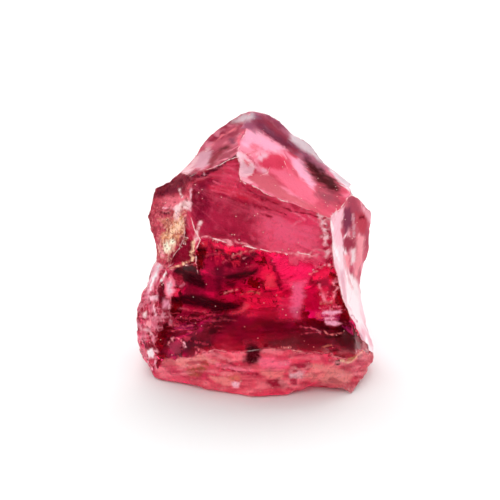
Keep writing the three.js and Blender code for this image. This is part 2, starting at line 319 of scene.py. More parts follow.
def chips(size, seed):
    """The stone cut into cells of this size in millimetres: the number of each point's cell, -1 to 1,
    the point's height on its cell's own slope, and its distance from the cell's rim."""
    number, height, rim = np.empty(len(points)), np.empty(len(points)), np.empty(len(points))
    for i, p in enumerate((points * CELL_SHAPE / size + seed * SEED_STEP).tolist()):
        gaps, middles = noise.voronoi(p)
        middle = middles[0]
        number[i] = noise.cell(middle * CELL_NUMBER_DRAW)
        slope = noise.cell_vector(middle * CELL_SLOPE_DRAW) - Vector((0.5, 0.5, 0.5))
        height[i] = slope.dot(Vector(p) - middle) * size
        rim[i] = (gaps[1] - gaps[0]) * size
    return number, height, rim


def blend(value, other, share):
    """This share of the way from one value or colour to another."""
    share = np.clip(np.asarray(share), 0, 1)
    return value + (other - value) * (share[:, None] if value.ndim == 2 else share)


def ridge_points():
    """The points on convex ridges: the two polygons at an edge lean away from each other."""
    centres = read(mesh.polygons, "center", 3)
    leans = read(mesh.polygons, "normal", 3)
    order = np.argsort(corner_edge, kind="stable")
    pair = corner_polygon[order].reshape(-1, 2)
    turn = np.einsum("ij,ij->i", leans[pair[:, 0]], leans[pair[:, 1]])
    between = centres[pair[:, 1]] - centres[pair[:, 0]]
    convex = np.einsum("ij,ij->i", leans[pair[:, 0]], between) < 0
    sharp = (turn < math.cos(RIDGE_ANGLE)) & convex
    ends = read(mesh.edges, "vertices", 2, int)
    return np.unique(ends[sharp])


def distance_to(chosen):
    """How far each point is from the nearest of the chosen ones."""
    finder = kdtree.KDTree(len(chosen))
    for number, index in enumerate(chosen):
        finder.insert(points[index], number)
    finder.balance()
    return np.array([finder.find(p)[2] for p in points.tolist()])


ridge_gap = distance_to(ridge_points())
ring = np.linalg.norm(points - np.array(BLOW), axis=1) + 0.25 * grain(1.6, 7)
fan_turn = np.degrees(np.arctan2(points[:, 2] - FAN[1], points[:, 0] - FAN[0]))
fan_lines = noise_at(np.stack([fan_turn * 0.9, ring * 0.25, 0 * ring], axis=1))
chip_number, chip_height, chip_rim = chips(CHIP, 24)
crumb_number, crumb_height, _ = chips(CRUMB, 25)

# ---- relief: heights in millimetres, one kind to a line ----
hackle_height = sum(on[name] * finishes[name].hackle for name in face_names)
hackle = np.abs(grain(0.34, 5)) - FOLDED + 0.6 * (np.abs(grain(0.17, 6)) - FOLDED)
relief = hackle_height * hackle

rings = np.sin(ring * 2 * math.pi / RIPPLE) * (0.5 + 0.5 * grain(1.1, 8))
relief += on["lower_front"] * (0.008 * rings + 0.02 * grain(0.8, 9))
relief += far_side * (0.014 * rings + 0.05 * drift(2.0, 0.9, 73, 10))
relief += on["upper_front"] * 0.010 * fan_lines
relief += on["foot"] * 0.035 * drift(1.3, 0.22, 26)
relief += (on["left_flank"] + 0.4 * on["knob_crust"] + 0.25 * on["foot"]) * 0.5 * chip_height
relief += (on["knob_crust"] + on["knob_top"]) * (0.45 * crumb_height + 0.015 * crumb_number)
relief += 0.02 * np.exp(-((ridge_gap / FRAY) ** 2)) * grain(0.2, 10)
relief += (on["right_wall"] + on["lobe"]) * 0.03 * drift(0.5, 1.8, 75, 12)
relief *= 1 - on["seat"]

# ---- paint ----
GAIN = 1.15  # skins are made this much lighter, so that they look right in the soft light
SWAY = 0.22  # how much the outlines of the marks wander
RAGGED = 0.4  # how ragged a patch's edge is, as a share of how soft it is
LINE_CORE = 0.25  # a line is full this far out from its middle, as a share of its width
LINE_END = 0.7  # and ends this far out
LINE_LEAST = 0.07  # but no nearer than this, in millimetres
GLOSS = 0.02  # the least roughness of the clear garnet
SOFTENED = 0.85  # the share of the fine specks that soft faces lack
ARCH_TOP = 2.6  # the top of the arch under which light is thrown back, up the front
ARCH_MIDDLE = 1.0  # where that is across the front
ARCH_FALL = 0.04  # and how steeply the arch falls to its sides

# What the clear garnet shows where nothing is painted: bright where light comes straight through it,
# and deeper below an arch, where light is thrown back inside.
arch = ARCH_TOP - ARCH_FALL * (across - ARCH_MIDDLE) ** 2
straight = np.tile(srgb(246, 36, 88), (len(points), 1))
glass = blend(straight, srgb(214, 22, 50), smooth(arch - upward, -0.1, 0.1))


class Paint:
    """What the stone is like at each point. tint and polish are the colour and the roughness of the
    clear garnet, skin and cover are the colour and the share of the frosted layer over it, and striae
    and line are the strengths of the fine lines drawn over both."""

    def __init__(self):
        self.tint = np.ones((len(points), 3))
        self.skin = sum(on[name][:, None] * finishes[name].skin for name in face_names)
        self.cover = sum(on[name] * finishes[name].cover for name in face_names)
        self.polish = sum(on[name] * finishes[name].polish for name in face_names)
        self.striae = np.zeros(len(points))
        self.line = np.zeros(len(points))

    def stain(self, mask, colour, amount=1.0):
        """Makes the clear garnet look this colour, under whatever is frosted over it."""
        through = np.clip(colour / glass, 0, 1)
        self.tint = blend(self.tint, through, mask * amount)

    def coat(self, mask, colour, cover):
        """Lays on a frosted skin of this colour, which hides this share of the garnet."""
        self.skin = blend(self.skin, colour, mask)
        self.cover = blend(self.cover, cover, mask)

    def tone(self, mask, colour):
        """Changes the skin's colour and leaves its cover."""
        self.skin = blend(self.skin, colour, mask)


paint = Paint()
stain = paint.stain
coat = paint.coat
tone = paint.tone

# Outlines wander less on the clear face, and are drawn out level there.
calm = 1 - 0.6 * on["lower_front"]
mark_across = across + calm * (SWAY * sway(1) + 0.03 * grain(0.2, 61))
mark_across += 0.1 * on["lower_front"] * drift(0.7, 0.07, 66, 2)
mark_up = upward + calm * (SWAY * sway(3) + 0.03 * grain(0.2, 62))

# Noise that several faces and marks share.
ragged = grain(0.3, 64) + 0.6 * grain(0.13, 65)
broken = 0.4 + 0.6 * smooth(grain(0.16, 63), -0.4, 0.2)
mottle = grain(0.8, 11)
fine_mottle = grain(0.28, 12)
patchy = smooth(grain(0.22, 27) + 0.5 * grain(0.6, 28), -0.35, 0.35)


def gap_to(start, end):
    """The distance on the front from each point to the line between two places."""
    (ax, ay), (bx, by) = start, end
    t = (mark_across - ax) * (bx - ax) + (mark_up - ay) * (by - ay)
    t = np.clip(t / ((bx - ax) ** 2 + (by - ay) ** 2), 0, 1)
    return np.hypot(mark_across - ax - t * (bx - ax), mark_up - ay - t * (by - ay))


def patch(corners, edge):
    """1 inside this outline on the front, 0 outside it, and eased over the edge."""
    inside = np.zeros(len(points), bool)
    nearest = np.full(len(points), BEYOND)
    for start, end in zip(corners, corners[1:] + corners[:1]):
        (ax, ay), (bx, by) = start, end
        if ay != by:
            side = (bx - ax) * (mark_up - ay) / (by - ay) + ax
            inside ^= ((ay > mark_up) != (by > mark_up)) & (mark_across < side)
        nearest = np.minimum(nearest, gap_to(start, end))
    return smooth(np.where(inside, nearest, -nearest) + RAGGED * calm * edge * ragged, -edge, edge)


def line(corners, width):
    """1 along this line on the front and 0 beside it."""
    gap = np.min([gap_to(start, end) for start, end in zip(corners, corners[1:])], axis=0)
    return (1 - smooth(gap, LINE_CORE * width, max(LINE_END * width, LINE_LEAST))) * broken


class Sheet:
    """A drawing sheet laid over the stone. A place on it is a pixel of the camera's 500 x 500 frame,
    right and down. One pixel lies at this place on the stone, across and up in millimetres, and each
    step to the next covers this much of the stone, across and up."""

    def __init__(self, pixel, place, step):
        self.pixel = pixel
        self.place = place
        self.step = step

    def on_stone(self, corners):
        """Where these pixels lie on the stone, across and up in millimetres."""
        (right, down), (x, up), (wide, high) = self.pixel, self.place, self.step
        return [(x + (u - right) * wide, up - (v - down) * high) for u, v in corners]


front_sheet = Sheet((188, 273), (-3.29, 4.30), (0.0484, 0.0486))
low_sheet = Sheet((188, 273), (-3.29, 4.30), (0.0480, 0.0484))
middle_sheet = Sheet((222, 148), (-1.68, 10.47), (0.0501, 0.0494))
back_sheet = Sheet((183, 118), (-3.69, 12.05), (0.0508, 0.0498))

# The four kinds of mark. A wash and a vein tint the clear garnet, a veil and a thread lie over it.
wash = (stain, patch)
vein = (stain, line)
veil = (coat, patch)
thread = (coat, line)


def paint_marks(faces, sheet, marks):
    """Lays marks on these faces. A mark is its kind, the width of its line or its soft edge in
    millimetres, its colour, how much of it there is, and its corners on the sheet."""
    here = on_any(faces)
    for (lay, shape), width, colour, amount, corners in marks.values():
        lay(here * shape(sheet.on_stone(corners), width), colour, amount)


def paint_lower_front():
    """Clear, glossy garnet with a soft red cloud in it."""
    here = on["lower_front"]
    stain(here, srgb(186, 8, 46))
    stain(here * smooth(drift(1.9, 0.4, 31, -5), 0.1, 0.6), srgb(124, 2, 26), 0.8)
    stain(here * smooth(drift(1.5, 0.3, 32, 4), 0.2, 0.7), srgb(222, 24, 66), 0.8)


def paint_lower_lines():
    """Fine streaks laid over the marks, and broken bubbly garnet under the satin face."""
    here = on["lower_front"]
    streaky = drift(0.9, 0.09, 52, 2)
    left = here * line([(-4.4, 1.95), (-2.0, 1.75)], 1.3)
    stain(left * smooth(streaky, 0.1, 0.5), srgb(84, 0, 14), 0.6)
    coat(left * smooth(-streaky, 0.2, 0.6), srgb(200, 56, 74), 0.4)
    low = here * line([(-1.5, 1.3), (3.8, 1.1)], 1.0)
    stain(low * smooth(streaky, 0.15, 0.5), srgb(84, 0, 16), 0.5)
    stain(low * smooth(-streaky, 0.2, 0.6), srgb(160, 12, 46), 0.6)
    bubbly = here * line([(-2.8, 5.35), (-0.9, 4.95)], 0.8)
    stain(bubbly * smooth(crumb_number, 0.6, 0.68), srgb(206, 26, 50), 0.8)
    stain(bubbly * smooth(crumb_number, 0.25, 0.17), srgb(84, 0, 12), 0.8)
    paint.striae += here * 0.12 + left * 0.4


def paint_upper_front():
    """The satin face, with clouds drawn out along its fan."""
    here = on["upper_front"]
    stain(here, srgb(190, 20, 60), 0.8)
    tone(here * smooth(drift(1.6, 0.5, 33, -22), 0.1, 0.7), srgb(176, 32, 60))
    tone(here * smooth(drift(1.4, 0.4, 34, -18), 0.15, 0.7), srgb(212, 58, 88))


def paint_upper_lines():
    """The lines of the fan, over the marks."""
    here = on["upper_front"]
    tone(here * smooth(fan_lines, 0.3, 0.7) * 0.3, srgb(236, 104, 130))
    tone(here * smooth(-fan_lines, 0.35, 0.7) * 0.22, srgb(120, 10, 38))
    tone(here * smooth(fine_mottle, 0.3, 0.7) * 0.2, srgb(240, 110, 134))
    paint.striae += here * 0.08


def paint_knob():
    """Dark chips and pale grains on the broken knob."""
    coat(knob * smooth(chip_number, 0.7, 0.8), srgb(112, 26, 42), 0.85)
    coat(knob * smooth(crumb_number, 0.86, 0.92), srgb(206, 120, 134), 0.85)


def paint_knob_grains():
    """Grains of the knob's crust and frost, over the marks."""
    crinkle = np.abs(grain(0.13, 72))
    gold = knob * line([(-3.6, 6.9), (-4.4, 5.4)], 1.2)
    crust = on["knob_crust"]
    tone(crust * smooth(crinkle, 0.12, 0.03) * 0.6, srgb(90, 14, 28))
    tone(crust * smooth(crinkle, 0.45, 0.6) * 0.5, srgb(232, 140, 146))
    freckled = knob * (1 - 0.8 * on["knob_red"])
    tone(freckled * smooth(fine_mottle, 0.1, 0.6) * 0.35, srgb(150, 50, 60))
    tone(knob * smooth(crumb_number, -0.7, -0.8) * 0.6, srgb(120, 34, 44))
    tone(gold * smooth(crinkle, 0.1, 0.02) * 0.8, srgb(104, 26, 26))
    tone(gold * smooth(fine_mottle, -0.1, 0.35) * 0.6, srgb(166, 76, 66))
    tone(gold * smooth(crinkle, 0.45, 0.6) * 0.5, srgb(252, 226, 196))


def paint_left_flank():
    """Many small facets, each painted lighter or darker on its own as if lit or shaded, with pale rims,
    grains and streaks.
    """
    here = on["left_flank"]
    # Painted highlights and shade: pale facets and dark facets stand in for chips turned towards and away
    # from the light.
    tone(here * smooth(chip_number, 0.5, 0.6) * 0.8, srgb(222, 120, 144))
    tone(here * smooth(chip_number, 0.24, 0.16) * 0.8, srgb(150, 34, 58))
    coat(here * smooth(crumb_number, 0.86, 0.92), srgb(248, 170, 188), 0.8)
    coat(here * smooth(0.05 - chip_rim, 0.0, 0.04) * patchy * 0.7, srgb(244, 166, 184), 0.7)
    coat(here * smooth(drift(0.9, 0.09, 35), 0.35, 0.6) * 0.7, srgb(238, 150, 170), 0.7)


def paint_foot():
    """Cloudy salmon with maroon clouds."""
    here = on["foot"]
    tone(here * smooth(drift(1.4, 0.45, 36, -4), 0.05, 0.5), srgb(172, 58, 74))
    tone(here * smooth(drift(1.1, 0.3, 37, 3), 0.1, 0.55), srgb(230, 124, 136))


def paint_foot_lines():
    """Thin layers and small stains of the foot, over the marks."""
    here = on["foot"]
    tone(here * smooth(drift(0.55, 0.22, 38, 5), 0.3, 0.7) * 0.5, srgb(240, 150, 156))
    tone(here * smooth(drift(0.7, 0.25, 67, -6), 0.15, 0.6) * 0.6, srgb(150, 40, 60))
    tone(here * smooth(np.abs(grain(0.15, 76)), 0.1, 0.02) * 0.4, srgb(120, 26, 44))
    tone(here * smooth(drift(1.6, 0.09, 39), 0.35, 0.6) * 0.3, srgb(240, 150, 156))
    tone(here * smooth(-drift(1.8, 0.09, 40), 0.4, 0.65) * 0.35, srgb(130, 30, 50))


def paint_top():
    """The back slopes: pink and clouded."""
    left = on["top_left"]
    middle = on_any(["top_middle", "top_flake"])
    right = on["top_right"]
    tone(left * smooth(grain(0.7, 41), 0.1, 0.5), srgb(150, 44, 68))
    tone(left * smooth(grain(0.5, 42), 0.3, 0.7), srgb(216, 120, 142))
    tone(middle * smooth(grain(0.7, 43), 0.1, 0.6), srgb(252, 180, 198))
    tone(right * smooth(drift(1.6, 0.6, 45, -35), 0.1, 0.5), srgb(200, 66, 90))
    tone(right * smooth(drift(1.8, 0.5, 46, -30), 0.15, 0.6), srgb(236, 126, 152))
    tone(on["top_rim"] * smooth(grain(0.5, 47), 0.0, 0.5), srgb(160, 84, 112))


def paint_right():
    """The pale wall, and the pink lobe behind it with streaks running down."""
    wall = on["right_wall"]
    lobe = on_any(["lobe", "foot_right"])
    runs = drift(0.35, 1.8, 48, 12)
    tone(wall * smooth(drift(0.3, 1.6, 49, 14), 0.1, 0.6), srgb(222, 172, 186))
    tone(wall * smooth(grain(1.3, 74), 0.1, 0.6) * 0.6, srgb(232, 168, 184))
    tone(wall * smooth(-drift(0.25, 1.0, 50, 14), 0.3, 0.7), srgb(250, 234, 238))
    paint.striae += (wall + lobe) * 0.25
    tone(lobe * smooth(runs, 0.05, 0.45), srgb(172, 70, 92))
    tone(lobe * smooth(-runs, 0.25, 0.6), srgb(236, 160, 176))
    tone(lobe * smooth(4.2 - upward, 0.0, 1.2), srgb(236, 196, 206))


def paint_back():
    """The far sides: clear breaks with ripples, faint clouds and deeper zones."""
    stain(far_side * smooth(drift(2.2, 0.9, 68, 14), 0.1, 0.7), srgb(170, 8, 44), 0.6)
    cloud = smooth(grain(2.2, 70) + 0.3 * fine_mottle, 0.2, 0.6)
    coat(far_side * cloud, srgb(200, 60, 90), 0.3)
    coat(far_side * smooth(drift(1.1, 0.1, 71, 6), 0.4, 0.7) * 0.5, srgb(230, 110, 136), 0.45)
    paint.striae += far_side * 0.35
    beside_rim = distance_to(np.flatnonzero(on["top_rim"] > 0.3))
    coat(far_side * smooth(beside_rim + 0.06 * mottle, 0.3, 0.1), srgb(238, 180, 196), 0.7)


def paint_ridges():
    """Ridges are chipped: a fine pale line, broken in places, and hackled garnet by the wall's ridge."""
    front_side = smooth(-normals[:, 1], -0.3, 0.3)
    paint.line += (1 - on["seat"]) * (0.3 + 0.7 * front_side) * smooth(grain(0.5, 51), -0.4, 0.3)
    paint.line *= 1 - 0.7 * smooth(1.9 - upward, 0.0, 0.6)
    paint.line *= 1 - 0.65 * knob
    rim = (on["upper_front"] + on["lower_front"]) * line([(3.3, 7.0), (3.5, 5.6), (3.65, 4.8)], 0.5)
    coat(rim * smooth(fine_mottle, 0.0, 0.25), srgb(240, 176, 184), 0.8)
    coat(rim * smooth(-fine_mottle, 0.2, 0.45), srgb(130, 14, 40), 0.7)
    pale = (on["upper_front"] + on["right_wall"]) * line([(3.1, 7.15), (3.4, 6.5), (3.45, 5.7)], 0.3)
    coat(pale * smooth(patchy + 0.8 * fine_mottle, 0.1, 0.7), srgb(252, 190, 198), 0.85)
    edge = on["lower_front"] * line([(3.7, 4.9), (4.0, 3.2), (4.5, 1.8)], 0.22)
    coat(edge * smooth(fine_mottle, 0.1, 0.35), srgb(226, 120, 140), 0.7)


# Much of the clear face is painted light and shade: the window, leaf, panes, bars, glow and swirl are
# painted light coming through the garnet, the dark bars are painted shade, and the glints, loops and
# stripes are painted highlights.
lower_marks = {
    "hackled band": (wash, 0.3, oxblood, 0.9, [
        (193, 243), (262, 252), (262, 262), (245, 268), (222, 268), (198, 262),
    ]),
    # Painted shade: dark patches in the left and the middle of the clear face.
    "left shade": (wash, 0.3, oxblood, 0.9, [(170, 268), (200, 262), (222, 266), (222, 300), (170, 300)]),
    "middle shade": (wash, 0.4, wine, 0.9, [
        (222, 268), (248, 262), (254, 270), (252, 282), (246, 290), (222, 292),
    ]),
    "red shoulder": (wash, 0.3, cherry, 0.8, [(250, 266), (262, 264), (263, 290), (252, 290)]),
    "red middle": (wash, 0.3, carmine, 0.8, [(224, 283), (250, 279), (262, 290), (256, 300), (226, 300)]),
    "bright lower middle": (wash, 0.3, scarlet, 0.8, [(244, 292), (276, 296), (276, 320), (246, 318)]),
    "light in the middle": (veil, 0.25, scarlet, 0.3, [(244, 292), (276, 296), (276, 318), (248, 316)]),
    "shade in the middle": (wash, 0.5, oxblood, 0.5, [(259, 298), (275, 298), (275, 320), (259, 318)]),
    "left edge of the window": (wash, 0.12, carmine, 1, [
        (254, 251), (270, 252), (272, 262), (262, 263), (256, 260),
    ]),
    "window": (wash, 0.12, ruby, 1, [
        (266, 251), (276, 252), (300, 256), (306, 262), (313, 268), (312, 276), (298, 281), (284, 279),
        (277, 270), (270, 258),
    ]),
    "right end of the window": (wash, 0.2, brick, 0.6, [(300, 256), (312, 257), (312, 264), (303, 265)]),
    "scarlet leaf": (wash, 0.1, scarlet, 1, [
        (262, 264), (271, 266), (277, 278), (279, 289), (272, 291), (265, 289), (262, 278),
    ]),
    "light on the leaf": (veil, 0.14, coral, 0.4, [
        (266, 274), (274, 274), (277, 287), (270, 289), (265, 286),
    ]),
    "shelf under the window": (wash, 0.16, ruby, 1, [
        (282, 278), (310, 277), (305, 290), (292, 289), (284, 286),
    ]),
    "pane below the leaf": (wash, 0.14, carmine, 1, [
        (262, 291), (276, 290), (277, 300), (268, 301), (262, 297),
    ]),
    "first bar": (wash, 0.09, scarlet, 1, [(277, 291), (283, 291), (283, 314), (277, 314)]),
    "second bar": (wash, 0.09, carmine, 1, [(283, 291), (291, 291), (291, 313), (283, 313)]),
    "third bar": (wash, 0.12, flame, 1, [(291, 289), (305, 286), (303, 304), (299, 316), (293, 319)]),
    "light on the shelf": (veil, 0.12, fuchsia, 0.4, [
        (282, 280), (300, 280), (309, 278), (305, 285), (303, 290), (292, 288),
    ]),
    "light behind the bars": (veil, 0.2, ruby, 0.5, [(277, 299), (304, 299), (302, 321), (278, 320)]),
    "glow": (veil, 0.2, neon, 0.6, [
        (292, 285), (307, 280), (305, 296), (303, 304), (300, 312), (296, 320), (291, 308),
    ]),
    "right pane": (wash, 0.16, carmine, 1, [
        (305, 286), (319, 284), (322, 300), (321, 322), (302, 323), (300, 314), (304, 302),
    ]),
    "swirl": (wash, 0.12, scarlet, 1, [
        (313, 276), (331, 264), (336, 282), (341, 302), (320, 303), (317, 288),
    ]),
    "light in the swirl": (veil, 0.2, flame, 0.25, [
        (316, 277), (330, 267), (334, 282), (338, 300), (322, 301), (319, 288),
    ]),
    "shade in the swirl": (wash, 0.12, wine, 1, [(314, 281), (328, 278), (331, 286), (320, 288)]),
    # Lines darker than the painted light of the leaf and the shelf around them.
    "dark line on the leaf": (vein, 0.19, claret, 1, [(271, 258), (274, 267), (278, 277), (280, 289)]),
    "steep line on the shelf": (vein, 0.09, cherry, 0.6, [(280, 281), (286, 287), (293, 289)]),
    "long line on the shelf": (vein, 0.08, carmine, 0.5, [(281, 276), (290, 277), (297, 276), (303, 271)]),
    "shade over the bars": (vein, 0.07, wine, 1, [(264, 292), (276, 291)]),
    "shade across the bars": (vein, 0.05, wine, 1, [(279, 303), (291, 303)]),
    "gleam under the shade": (thread, 0.06, fuchsia, 0.5, [(279, 306), (291, 306)]),
    "gleam over the shade": (thread, 0.05, fuchsia, 0.4, [(279, 299), (291, 299)]),
    "left dark bar": (wash, 0.1, night, 1, [
        (171, 270), (180, 267), (195, 264), (199, 271), (204, 280), (207, 290), (198, 288), (188, 284),
        (178, 279),
    ]),
    "band beside the dark bar": (wash, 0.09, oxblood, 1, [
        (197, 263), (205, 264), (212, 274), (216, 291), (208, 292), (204, 281), (200, 271),
    ]),
    "shade by the band": (wash, 0.16, sloe, 0.9, [
        (214, 266), (223, 266), (224, 276), (220, 290), (216, 290), (213, 275),
    ]),
    "band under the dark bar": (wash, 0.1, oxblood, 1, [
        (178, 281), (190, 286), (207, 291), (216, 292), (215, 301), (200, 296), (184, 294), (174, 292),
    ]),
    "bright fleck": (wash, 0.12, carmine, 0.9, [(205, 292), (215, 293), (214, 299), (206, 297)]),
    "bright left end": (wash, 0.12, brick, 0.9, [
        (173, 276), (181, 276), (182, 283), (178, 296), (174, 297),
    ]),
    "long dark bar": (wash, 0.1, night, 1, [
        (170, 301), (180, 295), (195, 295), (205, 297), (215, 300), (226, 302), (238, 304), (243, 307),
        (237, 309), (226, 312), (214, 314), (204, 309), (190, 306), (178, 305),
    ]),
    "upper dark bar": (wash, 0.1, night, 1, [
        (223, 276), (236, 273), (250, 271), (258, 268), (257, 273), (250, 277), (240, 280), (226, 280),
    ]),
    "small dark bar": (wash, 0.12, soot, 0.9, [(224, 281), (236, 283), (234, 288), (226, 287)]),
    "dark hackle": (wash, 0.12, sloe, 0.95, [
        (222, 267), (230, 259), (246, 254), (258, 252), (258, 257), (246, 262), (232, 268),
    ]),
    "shade under the seam": (vein, 0.13, soot, 0.9, [(198, 250), (210, 249), (221, 250)]),
    "bright fleck under the seam": (wash, 0.09, scarlet, 1, [
        (224, 248), (232, 247), (233, 251), (225, 252),
    ]),
    "bright fleck by the hem": (wash, 0.12, russet, 0.9, [(195, 258), (201, 259), (202, 267), (196, 265)]),
    "long pale hackle": (thread, 0.07, peach, 0.75, [(233, 257), (240, 253), (248, 252), (257, 249)]),
    "short pale hackle": (thread, 0.06, old_rose, 0.6, [(222, 263), (228, 260), (234, 258)]),
    "steep pale hackle": (thread, 0.09, dusty_rose, 0.7, [(243, 259), (247, 257)]),
    "faint hackle": (thread, 0.06, rosewood, 0.5, [(205, 256), (214, 254), (226, 255)]),
    "low hackle": (thread, 0.06, rosewood, 0.6, [(246, 268), (256, 264)]),
    "left gold thread": (thread, 0.05, peach, 0.6, [(223, 294), (231, 291), (237, 290)]),
    "right gold thread": (thread, 0.05, clay, 0.45, [(240, 295), (250, 292), (262, 294)]),
    "curl of light": (veil, 0.12, coral, 0.55, [
        (226, 315), (239, 311), (243, 306), (246, 303), (250, 306), (247, 311), (240, 314),
    ]),
    "end of the curl": (veil, 0.1, flame, 0.5, [(248, 315), (256, 313), (258, 316), (250, 318)]),
    "first streak": (thread, 0.05, crimson, 0.6, [(205, 316), (216, 315)]),
    "second streak": (thread, 0.05, old_rose, 0.55, [(176, 308), (190, 311), (206, 313)]),
    "third streak": (thread, 0.05, raspberry, 0.5, [(168, 318), (186, 320), (202, 319)]),
    "fourth streak": (thread, 0.05, salmon, 0.5, [(170, 326), (182, 328), (192, 326)]),
    "fifth streak": (thread, 0.05, rosewood, 0.5, [(208, 322), (224, 320), (238, 321)]),
    "rim of the glint": (veil, 0.06, candy, 0.9, [
        (166, 279), (170, 276), (174, 281), (175, 290), (172, 298), (168, 299), (165, 293), (164, 285),
    ]),
    "glint": (veil, 0.06, powder, 0.95, [(166, 284), (170, 281), (172, 290), (169, 296), (166, 292)]),
    "shade by the glint": (veil, 0.05, plum, 0.75, [
        (161, 281), (164, 289), (164, 300), (158, 304), (155, 298), (159, 288),
    ]),
    # Painted highlight: a second, smaller glint under the first.
    "lower glint": (veil, 0.12, petal, 0.8, [
        (162, 300), (168, 301), (168, 306), (163, 309), (161, 306),
    ]),
    "left loop of the swirl": (thread, 0.15, candy, 0.85, [(320, 285), (322, 294), (325, 300), (328, 293)]),
    "dark loop": (wash, 0.1, wine, 1, [(328, 286), (333, 285), (333, 296), (329, 298)]),
    "right loop of the swirl": (thread, 0.16, blush, 0.85, [
        (323, 301), (330, 303), (335, 298), (337, 290), (334, 283),
    ]),
    "pink stripe": (thread, 0.08, candy, 0.85, [(321, 308), (342, 307)]),
    "brown stripe": (thread, 0.06, clay, 0.7, [(321, 304), (338, 304)]),
    "shade between the stripes": (wash, 0.1, cherry, 0.8, [(318, 309), (345, 309), (346, 327), (322, 327)]),
    "top stripe": (veil, 0.07, petal, 0.95, [
        (323, 311), (334, 311), (342, 310), (343, 313), (335, 316), (323, 315),
    ]),
    "middle stripe": (veil, 0.06, petal, 0.9, [(323, 318), (334, 317), (339, 319), (325, 321)]),
    "bottom stripe": (veil, 0.07, petal, 0.95, [
        (325, 321), (337, 321), (343, 325), (336, 327), (327, 325),
    ]),
    "orange fleck": (veil, 0.05, coral, 0.55, [(316, 313), (322, 312), (323, 320), (317, 320)]),
    "broken rim": (thread, 0.09, powder, 0.9, [(314, 271), (318, 266), (322, 268), (326, 264), (329, 266)]),
    "short rim": (thread, 0.06, peach, 0.75, [(309, 274), (318, 271)]),
    "upper end of the rim": (thread, 0.07, blush, 0.7, [(316, 258), (321, 263)]),
}
# Painted shade: the corners of the clear faces are tinted dark, as though little light came through them.
corner_marks = {
    "right corner": (wash, 0.2, sloe, 0.9, [(338, 316), (350, 318), (366, 348), (352, 354), (336, 340)]),
    "left corner": (wash, 0.2, claret, 0.7, [(158, 308), (172, 312), (174, 344), (162, 346), (156, 330)]),
    "lower left corner": (wash, 0.2, claret, 0.8, [
        (166, 344), (196, 348), (200, 358), (184, 362), (166, 360),
    ]),
}
# The floor marks are painted shade: the low part of the clear face darkened, where light is thrown back
# inside the garnet.
low_marks = {
    "left floor": (wash, 0.4, claret, 0.85, [
        (166, 306), (214, 315), (250, 315), (250, 345), (200, 345), (166, 340),
    ]),
    "middle floor": (wash, 0.4, oxblood, 0.8, [(226, 320), (262, 320), (262, 345), (240, 345), (222, 335)]),
    "right floor": (wash, 0.4, wine, 0.95, [(262, 322), (330, 322), (352, 345), (330, 352), (265, 352)]),
    "lighter floor": (wash, 0.4, oxblood, 0.7, [(268, 326), (300, 326), (296, 338), (268, 342)]),
    "dark knot": (wash, 0.2, soot, 0.95, [(209, 315), (226, 314), (236, 318), (228, 325), (212, 326)]),
    "small knot": (wash, 0.12, soot, 0.95, [(205, 333), (212, 329), (224, 331), (216, 336)]),
    "left crack": (wash, 0.12, sloe, 0.95, [
        (188, 334), (198, 340), (212, 339), (218, 342), (208, 348), (190, 352), (180, 356), (166, 358),
        (180, 350), (184, 342),
    ]),
    "reddish fan": (wash, 0.2, brick, 0.9, [
        (214, 338), (224, 332), (236, 340), (246, 350), (244, 358), (226, 352), (214, 346),
    ]),
    "upper right crack": (vein, 0.12, night, 1, [(324, 329), (334, 330), (345, 331)]),
    "lower right crack": (vein, 0.12, night, 1, [(328, 338), (345, 337)]),
    "crack over the foot": (vein, 0.12, soot, 1, [(290, 355), (312, 355)]),
    "right pit": (veil, 0.05, night, 0.8, [(328, 351), (340, 348), (342, 352), (334, 354)]),
    "pale crest": (thread, 0.05, rose, 0.8, [(300, 327), (312, 329), (318, 331), (322, 334)]),
    "tip of the crest": (thread, 0.08, powder, 0.9, [(319, 331), (322, 333)]),
    "right crest": (thread, 0.05, peach, 0.75, [(326, 332), (332, 336), (345, 334)]),
    "low crest": (thread, 0.05, old_rose, 0.6, [(303, 335), (318, 333)]),
    "sandy edge": (thread, 0.055, peach, 0.8, [(270, 349), (281, 348), (290, 347), (297, 352), (305, 352)]),
    "brown edge": (thread, 0.08, clay, 0.7, [(325, 347), (336, 346)]),
    "pink edge": (thread, 0.07, rose, 0.8, [(298, 357), (310, 358), (325, 360)]),
    "left pebble": (veil, 0.05, dusk, 0.6, [(167, 347), (176, 341), (182, 346), (180, 353), (170, 357)]),
    "rim of the pebble": (thread, 0.09, blush, 0.8, [
        (166, 346), (172, 339), (178, 340), (183, 345), (184, 349),
    ]),
    "glint of the pebble": (thread, 0.1, powder, 0.95, [(183, 344), (185, 349)]),
    "pink pebble": (veil, 0.06, raspberry, 0.6, [(181, 337), (189, 338), (190, 342), (183, 342)]),
    "left streak": (thread, 0.06, rose, 0.6, [(170, 333), (182, 331), (194, 334)]),
    "short streak": (thread, 0.06, raspberry, 0.55, [(192, 343), (206, 345), (216, 350)]),
    "first splinter": (thread, 0.05, salmon, 0.7, [(196, 348), (210, 356)]),
    "long splinter": (thread, 0.06, raspberry, 0.5, [(220, 344), (232, 350), (242, 356)]),
    "second splinter": (thread, 0.05, salmon, 0.6, [(222, 350), (230, 356)]),
    "third splinter": (thread, 0.06, blush, 0.9, [(199, 351), (206, 359)]),
    "fourth splinter": (thread, 0.05, candy, 0.8, [(203, 351), (210, 359)]),
    "fifth splinter": (thread, 0.06, blush, 0.9, [(210, 352), (218, 358)]),
    "sixth splinter": (thread, 0.05, candy, 0.8, [(195, 353), (201, 360)]),
    "seventh splinter": (thread, 0.05, candy, 0.7, [(217, 352), (221, 358)]),
    "dark nick": (thread, 0.09, sloe, 0.9, [(229, 364), (236, 368)]),
    "dark splinter": (thread, 0.07, claret, 0.8, [(212, 350), (218, 354)]),
}
